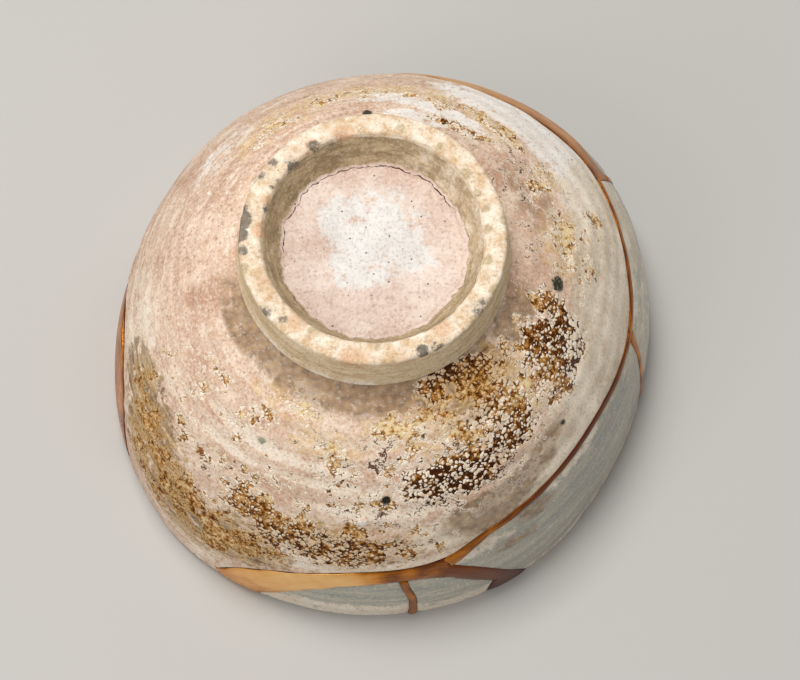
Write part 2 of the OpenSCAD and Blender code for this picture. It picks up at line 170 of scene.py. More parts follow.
def grid_piece(name, columns, rows, place):
    """A grid in its place, joined where its sides meet. place gives its points and what they carry."""
    bm = bmesh.new()
    bmesh.ops.create_grid(bm, x_segments=columns, y_segments=rows, size=0.5)
    mesh = bpy.data.meshes.new(name)
    bm.to_mesh(mesh)
    flat = np.empty(len(mesh.vertices) * 3)
    mesh.vertices.foreach_get("co", flat)
    across, along = flat.reshape(-1, 3).T[:2] + 0.5
    points, carried = place(across, along)
    mesh.vertices.foreach_set("co", points.ravel())
    for label, values in carried.items():
        if values.ndim == 1:
            mesh.attributes.new(label, "FLOAT", "POINT").data.foreach_set("value", values.ravel())
        else:
            mesh.attributes.new(label, "FLOAT_VECTOR", "POINT").data.foreach_set("vector", values.ravel())
    bm.clear()
    bm.from_mesh(mesh)
    bmesh.ops.remove_doubles(bm, verts=bm.verts, dist=JOIN)
    bmesh.ops.recalc_face_normals(bm, faces=bm.faces)
    bm.to_mesh(mesh)
    bm.free()
    mesh.shade_smooth()
    piece = bpy.data.objects.new(name, mesh)
    bpy.context.scene.collection.objects.link(piece)
    return piece


# Where the glaze lies differently, and where shade is painted under the foot: angle, height, half its length
# round the wall and half its length up the wall in millimetres, and how strong it is
ZONES = {
    "crawl": [
        (203, 37, 9, 6, 1), (212, 31, 9, 7, 1.05), (221, 25, 9, 6, 1.05), (230, 23, 9, 5, 1.05),
        (237, 21, 7, 4, 0.8), (216, 42, 4, 3, 0.7), (225, 43, 5, 2.5, 0.8), (236, 47, 6, 2, 0.7),
        (238, 40, 6, 6, 1.3), (243, 33, 6, 5, 1), (250, 37, 7, 5, 1.3), (257, 35, 8, 5, 1.3),
        (264, 33, 9, 5, 1.25), (268, 41, 7, 3, 1), (276, 36, 9, 5, 1), (255, 57, 7, 3, 0.7),
        (241, 61, 6, 2, 0.6), (263, 55, 6, 3, 0.5), (280, 60, 7, 4, 1), (288, 60, 6, 4, 0.95),
        (272, 47, 5, 3, 0.6), (281, 55, 6, 4, 0.7), (292, 51, 9, 5, 1.3), (285, 49, 6, 4, 1.2),
        (307, 52, 8, 5, 1.15), (297, 57, 8, 4, 1), (303, 63, 9, 5, 1.2), (312, 60, 7, 5, 1.2),
        (318, 56, 7, 6, 1.1), (326, 55, 6, 5, 0.9), (336, 56, 8, 9, 1.3), (345, 59, 6, 5, 1.15),
        (330, 50, 7, 4, 1), (2, 56, 6, 6, 0.9), (9, 56, 6, 6, 1.05), (28, 57, 5, 5, 0.85),
        (50, 56, 8, 3, 1), (70, 56, 14, 3, 1), (95, 56, 14, 3, 0.9), (125, 58, 9, 4, 0.8),
        (62, 61, 8, 2, 0.9), (232, 50, 30, 12, 0.6), (272, 52, 24, 12, 0.7), (300, 54, 20, 12, 0.9),
        (322, 58, 16, 8, 0.9), (307, 58, 8, 4, 1.2), (5, 52, 4, 6, 0.9), (213, 21, 9, 6, 0.9),
        (224, 16, 9, 5, 0.9), (217, 44, 3, 3, 1.1), (226, 43, 4, 2, 1.1), (236, 47, 4, 1.5, 1),
        (201, 42, 3, 4, 1), (216, 58, 5, 2, 0.75), (212, 52, 5, 2, 0.9), (236, 58, 6, 2, 0.75),
        (0, 53, 3, 5, 1), (17, 50, 3, 4, 0.9), (250, 45, 4, 2, 0.9), (15, 58, 20, 10, 0.45),
        (95, 56, 40, 9, 0.4), (250, 31, 30, 6, 0.6), (231, 28, 8, 6, 1.15), (237, 26, 7, 5, 1.2),
        (225, 30, 6, 6, 1.15), (243, 25, 7, 4, 1.1), (232, 17, 8, 4, 0.95),
    ],
    "beads": [
        (336, 55, 8, 8, 0.85), (292, 50, 10, 5, 1.15), (284, 48, 6, 4, 1), (310, 63, 7, 4, 0.7),
        (306, 52, 7, 4, 0.7), (257, 34, 16, 5, 0.8), (303, 64, 8, 4, 0.7), (239, 38, 7, 7, 0.4),
        (307, 58, 7, 4, 0.8), (312, 53, 7, 4, 0.8),
    ],
    "isles": [
        (270, 50, 10, 7, 1.3), (281, 56, 8, 5, 1.2), (276, 52, 8, 6, 1.2), (222, 43, 8, 4, 0.6),
        (255, 57, 8, 3, 0.5), (300, 45, 20, 6, 0.5), (24, 60, 14, 9, 0.65), (243, 61, 10, 4, 0.5),
        (276, 58, 7, 4, 1), (284, 45, 10, 5, 1.3),
    ],
    "amber": [
        (238, 40, 6, 6, 0.3), (243, 34, 6, 5, 0.3), (255, 57, 8, 3, 0.8), (241, 61, 8, 3, 0.7),
        (283, 60, 9, 4, 0.9), (297, 57, 8, 5, 1), (318, 57, 7, 6, 1), (326, 55, 5, 5, 0.9),
        (8, 56, 7, 7, 1), (304, 61, 8, 3, 0.6), (258, 35, 18, 7, 0.4), (80, 55, 20, 4, 0.8),
        (125, 57, 10, 6, 0.6), (52, 56, 6, 4, 0.7), (30, 56, 4, 4, 0.7),
    ],
    "grey": [
        (355, 44, 26, 12, 0.9), (318, 40, 16, 7, 0.85), (292, 37, 14, 5, 0.7), (20, 40, 12, 14, 0.8),
    ],
    "white": [
        (55, 48, 14, 7, 1), (40, 46, 10, 9, 1), (66, 59, 8, 2, 0.9), (85, 58, 8, 2, 0.8),
        (247, 34, 3, 5, 0.8), (140, 52, 10, 5, 0.4), (75, 62, 6, 2, 0.8),
    ],
    # Painted shade: the marks just under the foot's root, the first four and the last, are shade cast by the
    # foot. The others are darker patches along the front seam.
    "foot_shade_and_dark_patches": [
        (258, 64.5, 28, 4.5, 1), (210, 64, 12, 4, 0.6), (300, 64, 10, 4, 0.8), (335, 63, 8, 4, 0.7),
        (296, 39, 9, 5, 1), (306, 42, 8, 3, 0.9), (316, 45, 5, 2, 0.7), (306, 31, 5, 3, 0.6),
        (300, 24, 6, 2, 0.5), (25, 61, 10, 6, 0.4),
    ],
    "tan": [
        (203, 37, 10, 7, 1.2), (212, 31, 10, 8, 1.3), (221, 25, 10, 7, 1.3), (230, 22, 10, 6, 1.1),
        (305, 62, 10, 5, 0.9), (258, 35, 18, 6, 0.5), (238, 26, 10, 7, 0.95), (213, 21, 10, 6, 0.8),
        (224, 16, 10, 5, 0.7),
    ],
    "cream": [
        (238, 53, 12, 1.3, 1), (250, 53, 10, 1, 0.9), (256, 50, 12, 1, 0.8), (229, 49, 8, 1, 0.8),
        (268, 45, 12, 1.5, 0.7), (225, 15, 18, 14, 0.4), (190, 40, 16, 8, 0.5), (327, 55, 6, 6, 0.9),
        (5, 52, 6, 8, 0.7), (265, 28, 30, 3, 0.8), (298, 57, 7, 3, 0.8), (23, 51, 6, 5, 1.2),
    ],
    "pink": [
        (18, 62, 16, 8, 1), (195, 60, 12, 6, 0.4), (244, 47, 16, 3, 0.45), (300, 46, 14, 3, 0.7),
        (317, 36, 2, 2, 0.8), (230, 57, 14, 4, 0.4),
    ],
}


# How steeply a zone falls off at its edge
ZONE_FALL = 0.35


def zone(marks, angle, height):
    """How strongly a zone shows at each point of the outside of the wall."""
    length = np.interp(height, UP_HEIGHT, UP_LENGTH)
    reach = np.interp(height, UP_HEIGHT, UP_REACH)
    strength = np.zeros_like(angle)
    for way, high, half_round, half_up, most in marks:
        round_it = np.radians((angle - way + 180) % 360 - 180) * reach / (half_round * MM)
        up_it = (length - np.interp(high * MM, UP_HEIGHT, UP_LENGTH)) / (half_up * MM)
        strength = np.maximum(strength, most * np.exp(-ZONE_FALL * (round_it ** 2 + up_it ** 2) ** 2))
    return strength


def thrown(angle, length):
    """Places for streaks that follow the wheel: long round the bowl and short up its wall."""
    turned = np.radians(angle)
    return np.stack([RIM_RADIUS * np.cos(turned), RIM_RADIUS * np.sin(turned), length], -1)


def edge_run(angles, heights, broken):
    """A stretch of the body's lower edge: its angles, its heights, and whether it is broken."""
    angles, heights = np.broadcast_arrays(np.asarray(angles, float), np.asarray(heights, float))
    return np.stack([angles, heights, np.full(angles.shape, float(broken))], -1)


# The lower edge of the body, all the way round from the front fill
break_angles = np.linspace(FILL_LEFT, BREAK_END, 500)
notch_angles = np.linspace(NOTCH_LEFT, NOTCH_RIGHT, 160)
edge = np.concatenate([
    edge_run(FILL_LEFT, np.linspace(0, break_height(FILL_LEFT), 8), 1),
    edge_run(break_angles, break_height(break_angles), 1),
    edge_run(BREAK_END, np.linspace(break_height(BREAK_END), 0, 40), 1),
    edge_run(np.linspace(BREAK_END, NOTCH_LEFT, 100)[1:-1], 0, 0),
    edge_run(NOTCH_LEFT, np.linspace(0, notch_height(NOTCH_LEFT), 10), 1),
    edge_run(notch_angles, notch_height(notch_angles), 1),
    edge_run(NOTCH_RIGHT, np.linspace(notch_height(NOTCH_RIGHT), 0, 10), 1),
    edge_run(np.linspace(NOTCH_RIGHT, FILL_LEFT + 360, 60)[1:], 0, 0),
])
edge_step = np.hypot(np.diff(edge[:, 0]) / TURN, np.diff(edge[:, 1]))
edge_way = np.concatenate([[0], np.cumsum(edge_step)])

BODY_COLUMNS = 400
DOME_ROWS = 104
LIP_ROWS = 8
INSIDE_ROWS = 56
column_way = np.linspace(0, edge_way[-1], BODY_COLUMNS + 1)
column_angle, column_height, column_broken = (np.interp(column_way, edge_way, edge[:, k]) for k in range(3))
side = np.stack([np.gradient(column_angle) / TURN, np.gradient(column_height)])
side /= np.linalg.norm(side, axis=0)


def edge_at(c, back):
    """The body's edge in a column as angle and height, moved back into the wall."""
    angle = column_angle[c] - side[1, c] * back * TURN
    return angle, np.maximum(0, column_height[c] + side[0, c] * back)


def run(start, end, rows):
    """Points from start up to, and without, end."""
    return np.linspace(start, end, rows, endpoint=False)


# The turned foot from the middle of its recess out to its root, as radius and height.
# Three rows near the start follow the crack where the glaze of the recess ends.
CRACK_RADIUS = 19.6 * MM
CRACK_WIDTH = 0.35 * MM
CRACK_DEPTH = 0.4 * MM
RECESS_CORNER_OUT, RECESS_CORNER_UP = 0.3 * MM, 0.5 * MM
WAIST_IN, WAIST_UP = 0.6 * MM, 2 * MM
RECESS_ROWS, CRACK_ROWS, TURNED_ROWS = 22, 3, 12
EDGE_ROWS, FLAT_ROWS, WAIST_ROWS, ROOT_ROWS = 4, 6, 13, 4
corner = np.radians(run(0, 90, EDGE_ROWS))
rounding = np.stack([1 - np.cos(corner), np.sin(corner)], -1) * FOOT_EDGE
face_inner = FOOT_RADIUS - FOOT_WIDTH
crack_start = (CRACK_RADIUS - CRACK_WIDTH, RECESS_LEVEL)
recess_corner = (RECESS_RADIUS + RECESS_CORNER_OUT, RECESS_LEVEL + RECESS_CORNER_UP)
waist = (FOOT_ROOT - WAIST_IN, FOOT_START + WAIST_UP)
foot_rows = np.concatenate([
    run((0, RECESS_LEVEL + RECESS_RISE), crack_start, RECESS_ROWS),
    [crack_start, (CRACK_RADIUS, RECESS_LEVEL - CRACK_DEPTH), (CRACK_RADIUS + CRACK_WIDTH, RECESS_LEVEL)],
    run(recess_corner, (face_inner, BOWL_HEIGHT - FOOT_EDGE), TURNED_ROWS),
    [(face_inner + r, BOWL_HEIGHT - FOOT_EDGE + z) for r, z in rounding],
    run((face_inner + FOOT_EDGE, BOWL_HEIGHT), (FOOT_RADIUS - FOOT_EDGE, BOWL_HEIGHT), FLAT_ROWS),
    [(FOOT_RADIUS - FOOT_EDGE + z, BOWL_HEIGHT - r) for r, z in rounding],
    run((FOOT_RADIUS, BOWL_HEIGHT - FOOT_EDGE), waist, WAIST_ROWS),
    run(waist, (FOOT_ROOT, FOOT_START), ROOT_ROWS),
])
foot_way = np.concatenate([[0], np.cumsum(np.linalg.norm(np.diff(foot_rows, axis=0), axis=1))])
FOOT_ROWS = len(foot_rows)
CRACK_ROW = RECESS_ROWS + 1
FACE_ROW = RECESS_ROWS + CRACK_ROWS + TURNED_ROWS
FACE_ROWS = EDGE_ROWS + FLAT_ROWS + EDGE_ROWS
BODY_ROWS = FOOT_ROWS + DOME_ROWS + LIP_ROWS + INSIDE_ROWS

# Marks on the foot: angle, radius and size in millimetres, and how strong they are
FOOT_ZONES = {
    "blot": [
        (78, 4, 10, 1), (40, 7, 7, 0.9), (130, 8, 7, 0.9), (260, 4, 6, 0.7), (218, 6.5, 5, 0.85),
        (350, 9, 5, 0.7),
    ],
    "soot": [
        (165, 28.4, 1.6, 0.8), (172, 28, 2, 1), (180, 28.6, 2, 1), (187, 28, 1.4, 0.8),
        (150, 28.4, 2.4, 0.4), (143, 27.3, 1.8, 0.5), (292, 27.4, 1.5, 0.8), (299, 28, 1.5, 0.8),
        (225, 26.5, 1.4, 0.5), (216, 28, 2, 0.4), (325, 28, 3, 0.4), (110, 22.5, 4, 0.3),
        (122, 23.6, 2.2, 0.45), (136, 23.8, 2.4, 0.45), (150, 23.8, 2, 0.45), (163, 23.4, 1.8, 0.4),
    ],
    "rust": [
        (176, 23.9, 2, 0.9), (160, 24, 1.6, 0.7), (105, 24.6, 2.6, 0.8), (122, 24.6, 2, 0.5),
        (262, 28.3, 4, 0.6), (230, 25, 3, 0.5), (305, 25, 3, 0.5), (340, 25, 3, 0.3), (280, 28.3, 4, 0.4),
        (205, 25, 3, 0.5),
    ],
    "chip": [
        (76, 25.2, 1.5, 0.6), (55, 25, 1.2, 0.8), (46, 24.4, 1, 0.8), (36, 24.6, 1.5, 0.7),
        (24, 24.4, 1, 0.8), (16, 24.8, 1.3, 0.7), (4, 24.4, 1.1, 0.8), (348, 24.6, 1.5, 0.6),
        (30, 28.2, 1.1, 0.7), (8, 28.4, 1.3, 0.7), (335, 28.4, 1.6, 0.7), (318, 28.4, 1.6, 0.7),
        (240, 24.6, 1.4, 0.6), (272, 24.6, 1.2, 0.6), (195, 28.4, 1.6, 0.7),
    ],
}


def foot_zone(marks, points):
    """How strongly a zone shows at points of the foot."""
    strength = np.zeros(len(points))
    for way, far, size, most in marks:
        turned = np.radians(way)
        level = RECESS_LEVEL if far * MM < RECESS_RADIUS else BOWL_HEIGHT
        middle = FOOT_MIDDLE + np.array([far * MM * np.cos(turned), far * MM * np.sin(turned), level])
        apart = np.linalg.norm(points - middle, axis=1) / (size * MM)
        strength = np.maximum(strength, most * np.exp(-apart ** 3))
    return strength


# Single marks on the outside: angle, then height, radius and how far they stand proud in millimetres, and
# their colour
SPOTS = [
    (272, 48, 1.1, -0.7, "#120d09"), (354, 58.6, 1.7, 0.3, "#262a1f"), (322, 45, 0.6, -0.2, "#33271b"),
    (237, 54, 1.0, 0.6, "#9a9a84"), (266, 43, 1.0, 0.6, "#f4eee4"), (224, 44, 0.7, 0.3, "#8c4f27"),
    (93, 62, 1.1, -0.2, "#3b3128"), (200, 66, 1.0, 0.2, "#4a453d"),
]
CARRIED = [*ZONES, *FOOT_ZONES, "recess", "turned", "root", "bare_clay_and_painted_light", "celadon", "crack"]
RING_PITCH = 5.5 * MM
RING_DEPTH = 0.16 * MM
RING_SWAY = 2 * MM
LUMPS, LUMP_SIZE = 0.4 * MM, 22 * MM
CRAWL_DEPTH, CRAWL_SIZE = 0.16 * MM, 2.4 * MM
INSIDE_PITCH = 1.6 * RING_PITCH
INSIDE_LUMPS, INSIDE_LUMP_SIZE = 0.3 * MM, 20 * MM
INSIDE_CELADON, INSIDE_CREAM = 0.7, 0.3
EDGE_FADE = 0.06
FOOT_SWAY, FOOT_SWAY_SIZE = 0.3 * MM, 16 * MM
FOOT_GRIT, FOOT_GRIT_SIZE = 0.16 * MM, 2.2 * MM
FACE_WEAR, FACE_WEAR_SIZE = 0.16 * MM, 4 * MM
CRACK_SWAY, CRACK_JITTER, CRACK_PULL = 0.7 * MM, 0.4 * MM, 1.8 * MM


def relief(points, angle, length, height):
    """How far the outside stands proud: throwing rings, hand-made lumps, crawled glaze and small marks."""
    lumps = rough(points, LUMP_SIZE, 2)
    rings = np.sin(2 * np.pi * (length + RING_SWAY * lumps) / RING_PITCH)
    crawled = zone(ZONES["crawl"], angle, height)
    proud = LUMPS * lumps + RING_DEPTH * rings * (0.6 + 0.4 * lumps)
    proud += CRAWL_DEPTH * crawled * rough(points, CRAWL_SIZE, 2)
    for way, high, radius, stands, _ in SPOTS:
        middle = wall(way, high * MM, 0)
        near = np.linalg.norm(points - middle, axis=-1) / (radius * MM)
        proud += stands * MM * np.exp(-near ** 2)
    return proud


def place_body(across, along):
    """Where the points of the body's grid go, from the middle of the recess to the middle of the inside."""
    column = np.rint(across * BODY_COLUMNS).astype(int)
    row = np.rint(along * BODY_ROWS).astype(int)
    even_angle = FILL_LEFT + 360 * across
    turned = np.radians(even_angle)
    points = np.zeros((len(row), 3))
    length = np.zeros(len(row))
    carried = {name: np.zeros(len(row)) for name in CARRIED}

    # The foot, a little out of true, with a worn face
    on_foot = row < FOOT_ROWS
    radius, level = foot_rows[row[on_foot]].T
    ways = turned[on_foot]
    plain = np.stack([radius * np.cos(ways), radius * np.sin(ways), level], -1) + FOOT_MIDDLE
    round_it = np.stack([np.cos(ways), np.sin(ways), 0 * ways], -1)
    ragged = CRACK_SWAY * rough(round_it, 0.4, 5) + CRACK_JITTER * rough(round_it, 0.1, 3)
    wobble = ragged * np.exp(-((radius - CRACK_RADIUS) / CRACK_PULL) ** 2)
    share = np.clip(radius / RECESS_RADIUS, 0, 1) ** 2
    wobble += share * FOOT_SWAY * rough(plain, FOOT_SWAY_SIZE, 2)
    wobble += share * FOOT_GRIT * rough(plain, FOOT_GRIT_SIZE, 3)
    plain[:, 0] += wobble * np.cos(ways)
    plain[:, 1] += wobble * np.sin(ways)
    plain[:, 2] += FACE_WEAR * rough(plain + 1, FACE_WEAR_SIZE, 3)
    points[on_foot] = plain
    length[on_foot] = UP_LENGTH[-1] + foot_way[-1] - foot_way[row[on_foot]]
    for name, marks in FOOT_ZONES.items():
        carried[name][on_foot] = foot_zone(marks, plain)

    # Bare clay on the face and as a pale strip along the root at the front. On the inner wall at the right
    # the same pale colour is painted light, where the lamp falls on it. The inner wall's turned clay is
    # painted darker as shade in the recess, and the outer wall lighter as painted bounce light. The dark
    # line in the crack is painted shade under the glaze's step, deepest at the far side and fading towards
    # the front.
    way = even_angle % 360
    at_root = (row >= FOOT_ROWS - 2) & (row < FOOT_ROWS)
    at_turned = (row > CRACK_ROW + 1) & (row < FACE_ROW)
    at_face = (row >= FACE_ROW) & (row < FACE_ROW + FACE_ROWS)
    carried["bare_clay_and_painted_light"][at_root] = np.interp(way[at_root], [190, 225, 265, 285], [0, 0.8, 0.8, 0])
    # Painted light on the inner wall at the right
    carried["bare_clay_and_painted_light"][at_turned] = np.interp(way[at_turned], [0, 60, 110, 300, 360], [0.42, 0.36, 0, 0, 0.42])
    carried["bare_clay_and_painted_light"][at_face] = 1
    carried["recess"][row <= CRACK_ROW + 1] = 1
    # The inner wall's turned clay, painted darker as shade in the recess
    carried["turned"][at_turned] = 1
    # The foot's outer wall, painted lighter as bounce light
    carried["root"][(row >= FACE_ROW + FACE_ROWS) & (row < FOOT_ROWS)] = 1
    # How much painted shade the crack holds, most at the far side
    crack_shade = np.interp(way, [0, 20, 40, 150, 185, 205, 360], [0.4, 0.6, 1, 1, 0.8, 0.3, 0.3])
    carried["crack"] = np.where(row == CRACK_ROW, crack_shade, 0)

    # The outside, from the root of the foot down to the edge
    on_dome = (row >= FOOT_ROWS) & (row <= FOOT_ROWS + DOME_ROWS)
    share = (row[on_dome] - FOOT_ROWS) / DOME_ROWS
    c = column[on_dome]
    low_angle, low_height = edge_at(c, np.where(column_broken[c] > 0.5, EDGE_BACK, LIP))
    low_length = np.interp(low_height, UP_HEIGHT, UP_LENGTH)
    high_length = np.interp(FOOT_START, UP_HEIGHT, UP_LENGTH)
    way_up = low_length + (high_length - low_length) * (1 - share)
    height = np.interp(way_up, UP_LENGTH, UP_HEIGHT)
    angle = even_angle[on_dome] + (low_angle - even_angle[on_dome]) * share
    proud = relief(wall(angle, height, 0), angle, way_up, height) * np.clip(share / EDGE_FADE, 0, 1)
    points[on_dome] = wall(angle, height, 0, proud)
    length[on_dome] = way_up
    for name, marks in ZONES.items():
        carried[name][on_dome] = zone(marks, angle, height)

    # The lip or the broken edge, rounded over from the outside to the inside
    on_lip = (row > FOOT_ROWS + DOME_ROWS) & (row <= FOOT_ROWS + DOME_ROWS + LIP_ROWS)
    t = (row[on_lip] - FOOT_ROWS - DOME_ROWS) / LIP_ROWS
    depth = 0.5 - 0.5 * np.cos(np.pi * t)
    c = column[on_lip]
    groove_depth = [0, GROOVE_SHARE, 1 - GROOVE_SHARE, 1]
    broken_back = np.interp(depth, groove_depth, [EDGE_BACK, HALF_GAP, HALF_GAP, EDGE_BACK])
    back = np.where(column_broken[c] > 0.5, broken_back, LIP * (1 - np.sin(np.pi * t)))
    angle, height = edge_at(c, back)
    points[on_lip] = wall(angle, height, depth)
    length[on_lip] = -depth * WALL
    carried["celadon"][on_lip] = INSIDE_CELADON * depth

    # The inside, up to the middle of the floor
    on_inside = row > FOOT_ROWS + DOME_ROWS + LIP_ROWS
    share = (row[on_inside] - FOOT_ROWS - DOME_ROWS - LIP_ROWS) / INSIDE_ROWS
    c = column[on_inside]
    low_angle, low_height = edge_at(c, np.where(column_broken[c] > 0.5, EDGE_BACK, LIP))
    low_length = np.interp(low_height, UP_HEIGHT, UP_LENGTH)
    way_up = low_length + (UP_LENGTH[-1] - low_length) * share
    height = np.interp(way_up, UP_LENGTH, UP_HEIGHT)
    angle = even_angle[on_inside] + (low_angle - even_angle[on_inside]) * (1 - share)
    plain = wall(angle, height, 1)
    rings = np.sin(2 * np.pi * way_up / INSIDE_PITCH + np.radians(angle))
    fade = np.clip(share / EDGE_FADE, 0, 1) * (1 - share ** 8)
    proud = (RING_DEPTH * rings + INSIDE_LUMPS * rough(plain, INSIDE_LUMP_SIZE, 2)) * fade
    points[on_inside] = wall(angle, height, 1, -proud)
    length[on_inside] = -WALL - way_up
    carried["celadon"][on_inside] = INSIDE_CELADON
    carried["cream"][on_inside] = INSIDE_CREAM

    carried["thrown"] = thrown(even_angle, length)
    return points, carried


def linear(code):
    """A colour written as sRGB hex, as the linear values that a shader takes."""
    parts = np.array([int(code[i:i + 2], 16) for i in (1, 3, 5)]) / 255
    return (*np.where(parts <= 0.04045, parts / 12.92, ((parts + 0.055) / 1.055) ** 2.4), 1.0)


def feed(tree, node, inputs):
    """Set or link a node's inputs by name or number."""
    for name, value in inputs.items():
        if isinstance(value, bpy.types.NodeSocket):
            tree.links.new(value, node.inputs[name])
        else:
            node.inputs[name].default_value = value


def add(tree, kind, inputs, out=0, **settings):
    """A node with its settings and inputs. It gives back one of its outputs."""
    made = tree.nodes.new("ShaderNode" + kind)
    for name, value in settings.items():
        setattr(made, name, value)
    feed(tree, made, inputs)
    return made.outputs[out]


def per(size):
    """The scale of a pattern whose features have this size in millimetres."""
    return 1 / (size * MM)


def new_material(name):
    material = bpy.data.materials.new(name)
    material.use_nodes = True
    tree = material.node_tree
    return material, tree, tree.nodes["Principled BSDF"]


# Feldspar glaze that crawled on stoneware: a matt pink skin that drew up into islands with white lips and
# beads, over amber and iron brown ground, and a smooth grey glaze where it stayed thick. Each layer has the
# pattern that clouds it, its two colours, how much it covers, and how ragged its edge is.
LAYERS = [
    ("celadon", "streak", "#9a9b92", "#c0b9a5", 1.0, 0.5),
    ("pink", "cloud", "#b88e74", "#dab69c", 0.8, 3.0),
    ("cream", "cloud", "#ecd8bf", "#f8ebda", 0.8, 5.0),
    ("amber", "patch", "#c8944c", "#e8ca98", 0.6, 8.0),
    ("white", "cloud", "#f3e8dc", "#fff9f1", 0.95, 5.0),
    ("grey", "cloud", "#d0bfa2", "#fdeed7", 0.9, 3.5),
    # Painted shade under the foot's root, and darker patches along the front seam
    ("foot_shade_and_dark_patches", "fleck", "#684c33", "#b4946f", 0.85, 2.5),
    ("tan", "streak", "#553410", "#c6a26c", 0.8, 9.0),
    ("recess", "cloud", "#ceb2a2", "#e8d5c8", 0.95, 0.5),
    # Turned clay of the foot's inner wall, painted darker as shade in the recess
    ("turned", "streak", "#94805e", "#c9b28d", 0.95, 1.0),
    # The foot's outer wall, painted lighter as bounce light
    ("root", "streak", "#d8bb8f", "#f8e2be", 0.95, 1.0),
    # Bare clay, and painted light on the inner wall at the right
    ("bare_clay_and_painted_light", "patch", "#d8b78d", "#fdf0dc", 0.95, 2.0),
    ("chip", "patch", "#9a855c", "#c4ae84", 0.8, 9.0),
    ("blot", "cloud", "#d9d3cc", "#eae6e0", 0.95, 6.0),
    ("rust", "patch", "#bd7640", "#dca66f", 0.6, 6.0),
    ("soot", "fleck", "#332d27", "#85796a", 0.9, 10.0),
]


